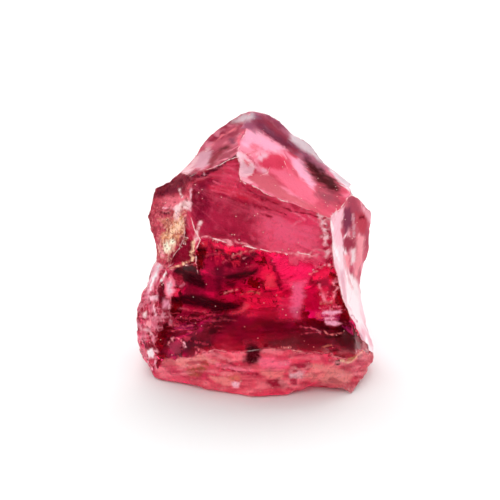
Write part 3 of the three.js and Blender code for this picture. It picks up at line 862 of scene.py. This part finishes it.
# Painted shade: a dark patch low in the clear face, where light is thrown away inside the garnet.
seam_shade = {
    "dark patch of shade": (veil, 0.2, night, 0.96, [
        (245, 342), (257, 342), (262, 350), (261, 358), (257, 364), (250, 367), (244, 362), (247, 352),
    ]),
}
foot_marks = {
    "pale shoulder": (veil, 0.08, peach, 0.85, [
        (160, 361), (180, 358), (195, 352), (205, 358), (220, 362), (200, 368), (180, 368), (162, 368),
    ]),
    "left cloud": (veil, 0.08, old_rose, 0.8, [(165, 372), (190, 371), (196, 379), (176, 377)]),
    "middle cloud": (veil, 0.1, raspberry, 0.8, [
        (200, 374), (230, 372), (232, 382), (214, 386), (200, 382),
    ]),
    "sandy cloud": (veil, 0.08, peach, 0.85, [(208, 377), (226, 377), (236, 384), (228, 388), (214, 385)]),
    "pale chip": (veil, 0.06, powder, 0.9, [(232, 385), (240, 383), (240, 389), (234, 389)]),
    "brown chip": (veil, 0.08, clay, 0.8, [(228, 376), (240, 376), (240, 382), (230, 382)]),
    "pale layer": (thread, 0.18, candy, 0.85, [(218, 365), (236, 370), (252, 371)]),
    "dark layer": (thread, 0.1, mulberry, 0.85, [(218, 369), (240, 373), (258, 375)]),
    "rusty patch": (veil, 0.08, umber, 0.8, [
        (188, 369), (200, 367), (207, 370), (204, 374), (196, 377), (188, 378), (186, 373),
    ]),
    "small rusty patch": (veil, 0.06, umber, 0.7, [(200, 362), (208, 362), (209, 367), (202, 367)]),
    "pink ledge": (veil, 0.1, bloom, 0.8, [
        (258, 357), (275, 356), (292, 360), (290, 368), (275, 372), (262, 368), (257, 363),
    ]),
    "sandy ledge": (veil, 0.1, peach, 0.8, [(260, 371), (285, 371), (284, 379), (266, 379)]),
    "dark foot edge": (veil, 0.06, claret, 0.9, [
        (266, 383), (280, 379), (290, 384), (292, 389), (272, 389),
    ]),
    "wine cloud": (veil, 0.06, garnet_red, 0.85, [
        (290, 366), (302, 363), (311, 362), (310, 370), (300, 373), (290, 371),
    ]),
    "pale pane": (veil, 0.08, haze, 0.85, [(290, 373), (306, 372), (305, 380), (292, 380)]),
    "dark pane": (veil, 0.06, maroon, 0.8, [(291, 379), (299, 378), (298, 385), (293, 385)]),
    "right cloud": (veil, 0.12, peach, 0.85, [
        (312, 366), (330, 364), (345, 372), (356, 377), (352, 386), (330, 384), (305, 380),
    ]),
    "shade in the notch": (veil, 0.08, rosewood, 0.8, [(322, 358), (336, 356), (336, 364), (326, 368)]),
    "straw chip": (veil, 0.05, straw, 0.85, [(350, 356), (358, 355), (356, 362), (350, 363)]),
    "right end": (veil, 0.06, old_rose, 0.85, [(350, 366), (362, 360), (369, 362), (366, 370), (356, 375)]),
    "right nick": (veil, 0.04, maroon, 0.9, [(360, 358), (365, 356), (366, 359), (361, 361)]),
    "moss grain": (veil, 0.04, moss, 0.97, [(336, 363), (342, 360), (344, 363), (341, 367), (337, 367)]),
    "pale rim": (thread, 0.11, apricot, 0.95, [(343, 361), (350, 364), (355, 363), (360, 357), (366, 354)]),
}
upper_marks = {
    "deep middle": (veil, 0.4, garnet_red, 0.6, [
        (205, 200), (258, 200), (262, 226), (250, 246), (205, 236),
    ]),
    "deep lower left": (veil, 0.25, mulberry, 0.6, [
        (200, 222), (235, 226), (262, 238), (262, 250), (232, 242), (202, 236),
    ]),
    "bright right": (veil, 0.8, hot_pink, 0.7, [
        (258, 209), (300, 213), (320, 222), (322, 254), (290, 254), (266, 247), (259, 228),
    ]),
    "bright band": (veil, 0.12, fuchsia, 0.6, [
        (276, 210), (296, 213), (318, 216), (320, 224), (300, 227), (284, 219),
    ]),
    "bright top": (veil, 0.2, crimson, 0.6, [(206, 176), (232, 159), (240, 178), (236, 190), (215, 188)]),
    "dark left": (veil, 0.2, sloe, 0.65, [
        (189, 184), (205, 180), (209, 200), (208, 222), (196, 224), (189, 205),
    ]),
    "dark top left": (veil, 0.1, wine, 0.65, [(205, 178), (219, 178), (222, 184), (208, 186)]),
    "red band": (veil, 0.12, russet, 0.6, [(210, 185), (240, 189), (262, 202), (240, 199), (212, 193)]),
    "long dark streak": (thread, 0.2, oxblood, 0.7, [
        (208, 193), (225, 196), (240, 201), (255, 205), (270, 210),
    ]),
    "short dark streak": (thread, 0.16, wine, 0.7, [(230, 198), (240, 205)]),
    "dark scratch": (thread, 0.1, wine, 0.8, [(267, 209), (276, 211), (287, 215)]),
    "soft scratch": (thread, 0.16, oxblood, 0.7, [(262, 214), (272, 218)]),
    "first fan line": (thread, 0.05, rose, 0.8, [(214, 182), (236, 187)]),
    "second fan line": (thread, 0.05, rose, 0.75, [(212, 186), (238, 193)]),
    "third fan line": (thread, 0.05, rose, 0.7, [(211, 190), (236, 196)]),
    "fourth fan line": (thread, 0.05, rose, 0.75, [(222, 172), (240, 181)]),
    "fifth fan line": (thread, 0.05, rose, 0.7, [(226, 166), (238, 172)]),
    "sixth fan line": (thread, 0.06, rose, 0.7, [(240, 192), (262, 203)]),
    "pale scratch": (thread, 0.07, candy, 0.8, [(290, 210), (300, 216), (306, 221)]),
    "pale hair": (thread, 0.05, candy, 0.75, [(291, 226), (297, 223), (304, 221)]),
    "pale hook": (thread, 0.06, candy, 0.7, [(306, 213), (312, 220), (318, 222)]),
    "shade of the upper ridge": (thread, 0.1, claret, 0.8, [(241, 184), (262, 199)]),
    "shade of the lower ridge": (thread, 0.07, claret, 0.75, [(266, 199), (290, 210), (318, 217)]),
    "upper nick": (veil, 0.05, wine, 0.85, [(243, 177), (249, 176), (249, 180), (245, 181)]),
    "lower nick": (veil, 0.05, claret, 0.85, [(261, 196), (267, 196), (266, 202), (262, 201)]),
    "corner scratch": (thread, 0.08, blush, 0.7, [(309, 254), (316, 249), (325, 251)]),
    "corner hair": (thread, 0.06, blush, 0.7, [(312, 257), (320, 254)]),
}
seam_marks = {
    "left seam": (thread, 0.07, blush, 0.85, [(196, 240), (207, 236), (215, 240), (228, 240)]),
    "step in the seam": (thread, 0.07, blush, 0.75, [(234, 241), (240, 243), (250, 247), (260, 250)]),
    "middle seam": (thread, 0.08, blush, 0.8, [(266, 252), (278, 252), (295, 253), (302, 256)]),
    "right seam": (thread, 0.07, blush, 0.8, [(303, 256), (312, 257), (318, 254)]),
    "pale chip": (veil, 0.04, blush, 0.85, [(226, 241), (231, 240), (233, 246), (228, 248)]),
    "shade of the seam": (thread, 0.12, sloe, 0.7, [(199, 246), (212, 247), (226, 246)]),
    "red chip": (veil, 0.05, russet, 0.7, [(200, 242), (208, 241), (208, 247), (202, 247)]),
    "pale tip": (veil, 0.03, salmon, 0.8, [(202, 243), (204, 242), (204, 246)]),
    "pale nick": (thread, 0.06, salmon, 0.7, [(214, 243), (218, 247)]),
}
knob_base = {
    "pink ground": (veil, 0.1, rosewood, 0.75, [
        (150, 190), (190, 183), (192, 215), (192, 262), (155, 264), (148, 222),
    ]),
}
knob_marks = {
    "dark brow": (veil, 0.14, maroon, 0.88, [
        (154, 194), (163, 187), (175, 182), (184, 182), (190, 189), (182, 194), (170, 194), (160, 197),
    ]),
    "pink brow": (veil, 0.14, salmon, 0.88, [
        (158, 198), (172, 195), (190, 196), (188, 204), (176, 208), (160, 208),
    ]),
    "left cheek": (veil, 0.1, rosewood, 0.85, [
        (153, 212), (160, 216), (162, 226), (162, 234), (158, 243), (155, 234), (152, 222),
    ]),
    "brown crust": (veil, 0.06, clay, 0.95, [
        (157, 219), (168, 217), (176, 219), (174, 228), (166, 233), (163, 226),
    ]),
    "wine hollow": (veil, 0.05, wine, 0.85, [
        (183, 213), (190, 225), (192, 245), (192, 260), (176, 264), (164, 264), (168, 256), (174, 248),
        (180, 238), (185, 230), (184, 220),
    ]),
    # Painted highlight: a red gleam on the dark garnet beside the crust.
    "red highlight": (veil, 0.06, cherry, 0.8, [(186, 228), (191, 230), (191, 241), (187, 240)]),
    "pink edge": (veil, 0.05, raspberry, 0.85, [
        (183, 211), (190, 211), (193, 222), (196, 233), (191, 230), (187, 221),
    ]),
    "gold crust": (veil, 0.08, gold, 0.97, [
        (176, 216), (182, 218), (185, 225), (184, 231), (180, 236), (177, 243), (172, 248), (168, 254),
        (163, 252), (161, 246), (163, 240), (160, 236), (166, 230), (172, 225),
    ]),
    "cream crust": (veil, 0.07, cream, 0.97, [
        (162, 247), (166, 240), (173, 238), (176, 242), (171, 248), (168, 254), (163, 253),
    ]),
    "straw crust": (veil, 0.05, apricot, 0.97, [
        (175, 224), (182, 222), (184, 229), (176, 231), (170, 236), (168, 232),
    ]),
    "pink crumbs": (veil, 0.06, blush, 0.85, [(157, 244), (163, 246), (163, 258), (158, 258)]),
    "frosted crown": (veil, 0.09, shell, 0.92, [
        (176, 205), (186, 200), (190, 202), (190, 211), (184, 209), (179, 213), (176, 221), (173, 217),
        (173, 209),
    ]),
    "frosted edge": (thread, 0.1, powder, 0.8, [(190, 189), (190, 211)]),
    "frosted line": (thread, 0.12, shell, 0.85, [(180, 189), (182, 197)]),
    "pit": (veil, 0.04, soot, 0.92, [(156, 211), (166, 212), (172, 210), (168, 214), (160, 215)]),
    "rim of the pit": (thread, 0.07, powder, 0.85, [(160, 208), (168, 207), (174, 209)]),
}
hem_marks = {
    "pink hem": (thread, 0.06, rose, 0.7, [(184, 214), (188, 222), (190, 230)]),
    "white hem": (thread, 0.16, shell, 0.95, [(201, 222), (199, 228), (196, 236), (193, 243)]),
    "sandy hem": (thread, 0.17, apricot, 0.95, [(192, 243), (193, 252), (192, 259)]),
    "low hem": (thread, 0.15, apricot, 0.95, [(192, 261), (184, 264), (176, 267), (170, 269)]),
}
flank_marks = {
    "first pink line": (thread, 0.07, candy, 0.8, [(163, 262), (153, 284)]),
    "dark line": (thread, 0.07, mulberry, 0.8, [(165, 264), (156, 283)]),
    "second pink line": (thread, 0.06, salmon, 0.8, [(168, 265), (159, 283)]),
    "clear splinter": (veil, 0.1, powder, 0.85, [
        (158, 257), (151, 268), (145, 286), (146, 294), (150, 290), (155, 278), (161, 265),
    ]),
    "white edge": (thread, 0.1, chalk, 0.95, [(160, 261), (154, 274), (148, 290)]),
    "shade by the splinter": (thread, 0.08, garnet_red, 0.7, [(163, 268), (157, 282), (152, 296)]),
    "white line": (thread, 0.06, chalk, 0.8, [(166, 270), (160, 282)]),
    # The pink, white and rosy facets and the pale edge are pale frost with painted sparkle on it: partly
    # their own colour, partly painted highlights.
    "pink facet": (veil, 0.05, powder, 0.9, [(146, 297), (156, 296), (156, 301), (148, 301)]),
    "pale edge": (thread, 0.1, powder, 0.9, [(151, 303), (152, 310), (154, 316)]),
    "white facet": (veil, 0.04, shell, 0.95, [(141, 314), (145, 313), (144, 319), (141, 319)]),
    "rosy facet": (veil, 0.05, blush, 0.9, [(144, 323), (150, 322), (150, 328), (145, 327)]),
    "haze line": (thread, 0.07, haze, 0.8, [(138, 330), (146, 331), (152, 335)]),
    "dark facet": (veil, 0.05, wine, 0.85, [(144, 344), (152, 344), (152, 349), (147, 350)]),
    "smoky edge": (thread, 0.08, smoke, 0.95, [(140, 343), (145, 350)]),
    "dusty facet": (veil, 0.08, dusty_rose, 0.8, [(153, 340), (165, 340), (166, 358), (155, 358)]),
    "pale steep edge": (thread, 0.06, powder, 0.85, [(155, 342), (160, 350), (166, 356)]),
    "pale low edge": (thread, 0.06, powder, 0.85, [(153, 352), (160, 355)]),
}
white_marks = {
    "white chip": (veil, 0.05, milk, 0.97, [(144, 352), (150, 350), (153, 354), (151, 359), (146, 359)]),
}
left_top_marks = {
    "pale slope": (veil, 0.12, haze, 0.9, [
        (180, 177), (190, 163), (203, 150), (210, 146), (208, 152), (199, 163), (190, 175),
    ]),
    "lilac slope": (veil, 0.12, lilac, 0.85, [(200, 152), (212, 150), (210, 164), (202, 170), (196, 168)]),
    "dark dip": (veil, 0.1, mulberry, 0.88, [
        (212, 156), (220, 148), (228, 144), (232, 149), (224, 153), (218, 160), (213, 168), (207, 171),
    ]),
    "dark spot": (veil, 0.08, sloe, 0.9, [(221, 147), (228, 146), (228, 150), (222, 151)]),
    "dusky top": (veil, 0.12, dusk, 0.85, [(224, 130), (238, 126), (240, 134), (232, 136), (226, 135)]),
    "heather spot": (veil, 0.08, heather, 0.85, [(229, 138), (234, 137), (235, 143), (231, 144)]),
    "pink edge": (thread, 0.13, rose, 0.9, [(243, 130), (238, 140), (241, 152)]),
    "pink crest": (thread, 0.12, salmon, 0.85, [(236, 126), (222, 134), (212, 146)]),
}
middle_top_marks = {
    "pale crown": (veil, 0.12, petal, 0.93, [
        (244, 130), (252, 127), (262, 133), (275, 142), (290, 148), (270, 150), (256, 150), (246, 148),
        (241, 142),
    ]),
    "rosy spot": (veil, 0.1, candy, 0.9, [(252, 142), (262, 146), (256, 151), (250, 148)]),
    "first line": (thread, 0.07, salmon, 0.9, [(246, 156), (262, 148)]),
    "second line": (thread, 0.07, candy, 0.9, [(250, 160), (268, 150)]),
    "red cloud": (veil, 0.12, crimson, 0.93, [
        (256, 164), (270, 154), (285, 155), (292, 165), (288, 173), (270, 173),
    ]),
    "bright cloud": (veil, 0.12, bloom, 0.93, [
        (268, 170), (286, 168), (300, 180), (318, 197), (312, 206), (296, 196), (280, 180),
    ]),
    "lower cloud": (veil, 0.1, old_rose, 0.9, [
        (250, 170), (270, 176), (290, 196), (318, 208), (300, 207), (280, 200), (262, 191), (247, 179),
    ]),
    "pale run": (veil, 0.12, petal, 0.93, [
        (292, 156), (302, 156), (308, 170), (316, 184), (312, 190), (300, 176), (294, 166),
    ]),
    "flake": (veil, 0.06, powder, 0.94, [
        (230, 156), (240, 152), (249, 159), (254, 167), (252, 175), (245, 179), (237, 178), (231, 168),
    ]),
    "shade on the flake": (veil, 0.06, salmon, 0.9, [(243, 159), (250, 162), (248, 168)]),
    "rim of the flake": (thread, 0.06, raspberry, 0.8, [
        (242, 152), (250, 158), (255, 166), (254, 174), (248, 180),
    ]),
}
rim_marks = {
    "dusky rim": (veil, 0.2, dusk, 0.9, [
        (256, 113), (270, 117), (280, 127), (288, 138), (300, 150), (294, 154), (282, 145), (270, 137),
        (258, 128), (252, 119),
    ]),
    "heather rim": (veil, 0.16, heather, 0.9, [
        (254, 119), (262, 122), (271, 129), (282, 138), (290, 146), (284, 146), (272, 138), (260, 130),
        (255, 125),
    ]),
    "mauve rim": (veil, 0.12, mauve, 0.8, [(251, 112), (258, 112), (260, 118), (253, 119)]),
    "mauve line": (thread, 0.12, mauve, 0.7, [(288, 142), (296, 147), (305, 153)]),
    "dark blob": (veil, 0.3, soot, 0.95, [
        (303, 160), (312, 160), (322, 168), (334, 178), (340, 186), (336, 196), (326, 192), (316, 183),
        (308, 172),
    ]),
    "tail of the blob": (veil, 0.3, dusk, 0.88, [
        (316, 190), (330, 195), (338, 203), (326, 205), (314, 197),
    ]),
    "pearly edge": (veil, 0.12, pearl, 0.85, [
        (290, 128), (305, 134), (320, 145), (336, 160), (328, 166), (314, 155), (303, 148), (292, 140),
    ]),
    "lower pearly edge": (veil, 0.1, pearl, 0.85, [
        (328, 158), (340, 162), (372, 205), (372, 214), (364, 210), (345, 188), (330, 170),
    ]),
}
peak_marks = {
    "pearly peak": (veil, 0.2, pearl, 0.75, [
        (232, 121), (240, 115), (253, 111), (255, 115), (250, 120), (240, 122),
    ]),
}
ridge_marks = {
    "dark ridge by the knob": (thread, 0.4, plum, 0.85, [
        (154, 195), (163, 188), (176, 183), (184, 180), (195, 177),
    ]),
    "dark middle ridge": (thread, 0.24, plum, 0.9, [(186, 179), (200, 176), (208, 173), (220, 166)]),
    "dark upper ridge": (thread, 0.17, plum, 0.9, [(220, 166), (230, 159), (240, 153)]),
    "first glint": (thread, 0.07, haze, 0.9, [(203, 171), (204, 174)]),
    "second glint": (thread, 0.06, haze, 0.8, [(214, 167), (217, 165)]),
    "soft pink ridge": (thread, 0.12, old_rose, 0.6, [(186, 190), (196, 180), (208, 177)]),
}
right_marks = {
    "pale corner": (veil, 0.08, powder, 0.93, [
        (331, 222), (336, 212), (343, 206), (342, 218), (340, 232), (341, 246), (336, 246), (332, 236),
    ]),
    "heather shade": (veil, 0.1, heather, 0.9, [
        (343, 208), (350, 207), (352, 218), (350, 230), (345, 234), (342, 222),
    ]),
    "pale run": (thread, 0.14, powder, 0.5, [(353, 214), (354, 236)]),
    "dusky top": (veil, 0.1, rosewood, 0.9, [
        (356, 211), (366, 214), (369, 220), (366, 234), (358, 232), (356, 220),
    ]),
    "dark nick": (veil, 0.06, wine, 0.9, [(359, 215), (366, 216), (366, 219), (360, 219)]),
    "red spot": (veil, 0.1, dusk, 0.88, [
        (343, 240), (350, 236), (356, 243), (354, 248), (347, 252), (342, 246),
    ]),
    "rosy run": (veil, 0.12, blush, 0.9, [
        (357, 236), (366, 236), (364, 262), (358, 276), (354, 276), (356, 256),
    ]),
    "white spot": (veil, 0.08, milk, 0.9, [(352, 250), (356, 248), (355, 262), (352, 264)]),
    "rosy spot": (veil, 0.1, blush, 0.88, [(343, 254), (350, 256), (350, 270), (345, 268)]),
    "milky run": (veil, 0.15, milk, 0.93, [
        (343, 276), (352, 274), (358, 284), (362, 300), (362, 330), (350, 318), (346, 300),
    ]),
    # Painted shade: a darker rose line down the lobe's right outline.
    "rose line": (thread, 0.1, dusty_rose, 0.85, [(366, 240), (364, 262), (359, 277)]),
    "lilac hair": (thread, 0.05, lilac, 0.85, [(346, 315), (351, 317), (356, 322)]),
    "haze line": (thread, 0.12, haze, 0.7, [(342, 252), (346, 272), (352, 290)]),
}

paint_lower_front()
paint_upper_front()
paint_knob()
paint_left_flank()
paint_foot()
paint_top()
paint_right()
paint_back()
paint_marks(["lower_front", "left_flank"], front_sheet, lower_marks)
paint_marks(["lower_front", "left_flank", "foot"], low_sheet, corner_marks)
paint_marks(["lower_front", "foot"], low_sheet, low_marks)
paint_marks(["foot"], low_sheet, foot_marks)
paint_marks(["upper_front"], front_sheet, upper_marks)
paint_marks(["upper_front", "lower_front"], front_sheet, seam_marks)
paint_marks(knob_faces, front_sheet, knob_base)
paint_marks(knob_faces + ["left_flank", "lower_front", "upper_front"], front_sheet, knob_marks)
paint_marks(["knob_red", "knob_crust", "upper_front", "lower_front", "left_flank"], front_sheet, hem_marks)
paint_marks(["left_flank"], front_sheet, flank_marks)
paint_marks(["left_flank", "foot"], front_sheet, white_marks)
paint_marks(["top_left"], middle_sheet, left_top_marks)
paint_marks(["top_middle", "top_flake", "top_right"], middle_sheet, middle_top_marks)
paint_marks(["top_rim", "top_right", "top_middle"], back_sheet, rim_marks)
paint_marks(["top_left", "top_middle", "top_rim", "left_back"], back_sheet, peak_marks)
paint_marks(["knob_top", "knob_crust", "top_left", "upper_front", "knob_red"], front_sheet, ridge_marks)
paint_marks(["lobe", "right_wall", "foot_right"], middle_sheet, right_marks)
paint_lower_lines()
paint_upper_lines()
paint_knob_grains()
paint_foot_lines()
paint_marks(["lower_front", "foot"], low_sheet, seam_shade)
paint_ridges()


def write(name, values):
    """Keeps a number or a colour at each point of the mesh, for the material."""
    if values.ndim == 1:
        mesh.attributes.new(name, "FLOAT", "POINT").data.foreach_set("value", values)
        return
    full = np.concatenate([values, np.ones((len(values), 1))], axis=1)
    mesh.attributes.new(name, "FLOAT_COLOR", "POINT").data.foreach_set("color", full.ravel())


# The tint is squared, because light that goes through a surface takes the root of its colour.
write("tint", np.clip(paint.tint, 0, 1) ** 2)
write("skin", np.clip(paint.skin * GAIN, 0, 1))
write("cover", np.clip(paint.cover, 0, 1))
write("polish", np.clip(paint.polish, GLOSS, 1))
write("striae", np.clip(paint.striae, 0, 1))
write("line", np.clip(paint.line, 0, 1))
write("crisp", 1 - SOFTENED * on_any(soft_faces))
write("ridge_gap", np.minimum(ridge_gap, 1.0))
moved = points + normals * relief[:, None]
mesh.vertices.foreach_set("co", (moved * MM).ravel())
mesh.polygons.foreach_set("use_smooth", np.ones(len(mesh.polygons), bool))
mesh.update()
mesh.set_sharp_from_angle(angle=SHADE_ANGLE)

# ---- garnet ----
# Scales are per metre, as the object's coordinates are in metres: 9000 has features of 0.11 mm.
FINE_SCALE = 9000.0
GRAIN_SCALE = 22000.0
COARSE_SCALE = 2500.0
DUST_SCALE = 2600.0
RING_SCALE = 9000.0  # across the rings of the striae
ALONG_SCALE = 900.0  # and along them
GRAIN_BUMP = 0.00006  # the frosted skin's bump, in metres
CLEAR_BUMP = 0.00003  # and the clear garnet's
PYROPE_IOR = 1.74
GLEAM = (0.2, 0.005, 0.03, 1.0)  # the colour of reflections, on the clear garnet and inside it
BODY = (0.99, 0.03, 0.49, 1.0)  # the colour that light takes on its way through
BODY_DENSITY = 500.0  # per metre
MIX_FIRST, MIX_SECOND, MIX_RESULT = 6, 7, 2  # the colour sockets of a Mix node

garnet = bpy.data.materials.new("garnet")
garnet.use_nodes = True
tree = garnet.node_tree  # nodes are added to this tree, and later to the world's
tree.nodes.clear()


class Wire:
    """A node's output that can be added, multiplied and so on."""

    def __init__(self, socket):
        self.socket = socket

    def _maths(self, operation, first, second):
        return add_node("ShaderNodeMath", {"operation": operation}, {0: first, 1: second})[0]

    def __add__(self, other):
        return self._maths("ADD", self, other)

    def __radd__(self, other):
        return self._maths("ADD", other, self)

    def __sub__(self, other):
        return self._maths("SUBTRACT", self, other)

    def __rsub__(self, other):
        return self._maths("SUBTRACT", other, self)

    def __mul__(self, other):
        return self._maths("MULTIPLY", self, other)

    def __rmul__(self, other):
        return self._maths("MULTIPLY", other, self)


class Made:
    """A node whose outputs are read as wires, by number or name."""

    def __init__(self, node):
        self.node = node

    def __getitem__(self, key):
        return Wire(self.node.outputs[key])


def add_node(kind, settings=None, values=None):
    """A node of this kind with its settings, then the values or wires of its sockets."""
    node = tree.nodes.new(kind)
    for key, value in (settings or {}).items():
        setattr(node, key, value)
    for key, value in (values or {}).items():
        if isinstance(value, Wire):
            tree.links.new(value.socket, node.inputs[key])
        else:
            node.inputs[key].default_value = value
    return Made(node)


def attribute(name, output="Fac"):
    """What write kept under this name."""
    return add_node("ShaderNodeAttribute", {"attribute_name": name})[output]


def clamp_range(value, low, high, to_low=0.0, to_high=1.0, kind="SMOOTHSTEP"):
    """The value moved from one range to another, and kept inside it."""
    return add_node(
        "ShaderNodeMapRange",
        {"interpolation_type": kind},
        {"Value": value, "From Min": low, "From Max": high, "To Min": to_low, "To Max": to_high},
    )["Result"]


def mix_colour(share, first, second):
    """This share of the second colour over the first."""
    values = {"Factor": share, MIX_FIRST: first, MIX_SECOND: second}
    return add_node("ShaderNodeMix", {"data_type": "RGBA"}, values)[MIX_RESULT]


def flat(colour):
    """A colour as a socket takes it."""
    return tuple(colour) + (1.0,)


def noise_node(where, scale, detail):
    """Noise from 0 to 1."""
    values = {"Vector": where, "Scale": scale, "Detail": detail}
    return add_node("ShaderNodeTexNoise", None, values)["Fac"]


place = add_node("ShaderNodeTexCoord")["Object"]
fine_noise = noise_node(place, FINE_SCALE, 3.0)
grain_noise = noise_node(place, GRAIN_SCALE, 2.0)
coarse_noise = noise_node(place, COARSE_SCALE, 2.0)
dust_cells = add_node("ShaderNodeTexVoronoi", None, {"Vector": place, "Scale": DUST_SCALE})
dust = clamp_range(dust_cells["Distance"], 0.05, 0.09, 1.0, 0.0)

# Striae follow rings round the blow: long across the stone and thin along the ring's radius.
from_blow = add_node(
    "ShaderNodeVectorMath", {"operation": "DISTANCE"}, {0: place, 1: tuple(v * MM for v in BLOW)}
)["Value"]
along = add_node("ShaderNodeSeparateXYZ", None, {"Vector": place})["X"]
ring_across = from_blow * RING_SCALE + coarse_noise * 1.6
ring_along = along * ALONG_SCALE
ring_place = add_node("ShaderNodeCombineXYZ", None, {"X": ring_along, "Y": ring_across})["Vector"]
ring_noise = noise_node(ring_place, 1.0, 3.0)
striae_wire = attribute("striae")
pale_striae = clamp_range(ring_noise, 0.56, 0.66) * striae_wire
dark_striae = clamp_range(ring_noise, 0.46, 0.36) * striae_wire

cover_wire = attribute("cover")
polish_wire = attribute("polish")

# A ridge's pale line ends 0.01 to 0.05 mm from it, and wanders.
gap_wire = attribute("ridge_gap") + (fine_noise - 0.5) * 0.10 + (coarse_noise - 0.5) * 0.06
ridge_line = clamp_range(gap_wire, 0.01, 0.05, 1.0, 0.0) * attribute("line")

# Frost is speckled, most of all where it hides about half of the garnet.
crisp_wire = attribute("crisp")
frost = cover_wire + (fine_noise - 0.5) * 0.6 * cover_wire * (1.2 - cover_wire) * crisp_wire
layers = frost + pale_striae * 0.3 + ridge_line * 0.9 + dust * 0.6
coverage = clamp_range(layers, 0.0, 1.0, kind="LINEAR")
grain_bump = add_node(
    "ShaderNodeBump", None, {"Height": fine_noise * cover_wire, "Distance": GRAIN_BUMP, "Strength": 0.6}
)["Normal"]
clear_relief = fine_noise * polish_wire + ring_noise * striae_wire * 0.4
clear_bump = add_node(
    "ShaderNodeBump", None, {"Height": clear_relief, "Distance": CLEAR_BUMP, "Strength": 0.5}
)["Normal"]
pale_specks = clamp_range(grain_noise, 0.54, 0.7) * crisp_wire
dark_specks = clamp_range(fine_noise, 0.46, 0.32) * crisp_wire
shaded_skin = mix_colour(dark_specks * 0.22, attribute("skin", "Color"), flat(srgb(110, 8, 32)))
speckled_skin = mix_colour(pale_specks * 0.15, shaded_skin, flat(srgb(252, 130, 154)))
lined_skin = mix_colour(pale_striae * 0.8, speckled_skin, flat(srgb(222, 70, 98)))
ridged_skin = mix_colour(ridge_line, lined_skin, flat(srgb(252, 206, 206)))
dusty_skin = mix_colour(dust, ridged_skin, flat(srgb(240, 205, 190)))
lined_tint = mix_colour(dark_striae * 0.7, attribute("tint", "Color"), flat(srgb(70, 0, 10)))

clear = add_node(
    "ShaderNodeBsdfPrincipled",
    None,
    {
        "Base Color": lined_tint,
        "Roughness": polish_wire,
        "IOR": PYROPE_IOR,
        "Specular Tint": GLEAM,
        "Transmission Weight": 1.0,
        "Normal": clear_bump,
    },
)["BSDF"]
frosted = add_node(
    "ShaderNodeBsdfPrincipled",
    None,
    {
        "Base Color": dusty_skin,
        "Roughness": 0.5,
        "IOR": 1.45,
        "Specular IOR Level": 0.0,
        "Normal": grain_bump,
    },
)["BSDF"]
surface = add_node("ShaderNodeMixShader", None, {0: coverage, 1: clear, 2: frosted})["Shader"]
absorbing = add_node(
    "ShaderNodeVolumeAbsorption", None, {"Color": BODY, "Density": BODY_DENSITY}
)["Volume"]
add_node("ShaderNodeOutputMaterial", None, {"Surface": surface, "Volume": absorbing})

mesh.materials.clear()
mesh.materials.append(garnet)
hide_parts("pyrope_crystal")
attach(stone, "root")

# ---- studio ----
FLOOR_HALF = 1.5  # metres, as everything here is
FLOOR_DROP = 0.00001  # just clear of the seat
PAPER_WHITE = (0.94, 0.94, 0.94, 1)
DIM = 0.7  # the strength of the studio's light all round
BRIGHT = 2.1  # what the bright wall behind the stone adds
HORIZON = 0.35  # and what the light low over the floor's far edge adds
BOUNCES = 24
LAMP_AIM = Vector((0, 0, 0.006))

floor_mesh = bpy.data.meshes.new("floor")
floor_shape = bmesh.new()
bmesh.ops.create_grid(floor_shape, x_segments=1, y_segments=1, size=FLOOR_HALF)
floor_shape.to_mesh(floor_mesh)
floor_shape.free()
floor = bpy.data.objects.new("floor", floor_mesh)
floor.location.z = -FLOOR_DROP
bpy.context.scene.collection.objects.link(floor)
paper = bpy.data.materials.new("paper")
paper.use_nodes = True
paper_inputs = paper.node_tree.nodes["Principled BSDF"].inputs
paper_inputs["Base Color"].default_value = PAPER_WHITE
paper_inputs["Roughness"].default_value = 0.8
floor_mesh.materials.append(paper)

world = bpy.data.worlds.new("studio")
bpy.context.scene.world = world
world.use_nodes = True
tree = world.node_tree
tree.nodes.clear()
way = add_node("ShaderNodeSeparateXYZ", None, {"Vector": add_node("ShaderNodeTexCoord")["Generated"]})
glow = clamp_range(way["Y"], 0.2, 0.7)
horizon = clamp_range(way["Z"], 0.06, 0.12, HORIZON, 0.0)
brightness = glow * BRIGHT + DIM + horizon
sky = add_node("ShaderNodeBackground", None, {"Color": (1, 1, 1, 1), "Strength": brightness})
add_node("ShaderNodeOutputWorld", None, {"Surface": sky["Background"]})


def soft_light(name, location, size, power):
    """A square lamp turned towards the stone."""
    lamp = bpy.data.lights.new(name, "AREA")
    lamp.size = size
    lamp.energy = power
    light = bpy.data.objects.new(name, lamp)
    light.location = location
    light.rotation_euler = (LAMP_AIM - light.location).to_track_quat("-Z", "Y").to_euler()
    bpy.context.scene.collection.objects.link(light)


soft_light("left_front", (-0.3, -0.2, 0.16), 0.3, 0.3)

scene = bpy.context.scene
scene.view_settings.view_transform = "Standard"
scene.cycles.max_bounces = BOUNCES
scene.cycles.transmission_bounces = BOUNCES

# ---- camera ----
CAMERA_HEIGHT = math.radians(20)
CAMERA_DISTANCE = 0.125
CAMERA_AIM = Vector((-0.000288, 0.0000433, 0.00574))
camera_data = bpy.data.cameras.new("camera")
camera_data.lens = 180
camera_data.sensor_width = 36
camera_data.clip_start = 0.001
camera_data.clip_end = 10
camera = bpy.data.objects.new("camera", camera_data)
back_off = Vector((0, -math.cos(CAMERA_HEIGHT), math.sin(CAMERA_HEIGHT)))
camera.location = CAMERA_AIM + CAMERA_DISTANCE * back_off
camera.rotation_euler = (-back_off).to_track_quat("-Z", "Y").to_euler()
scene.collection.objects.link(camera)
scene.camera = camera
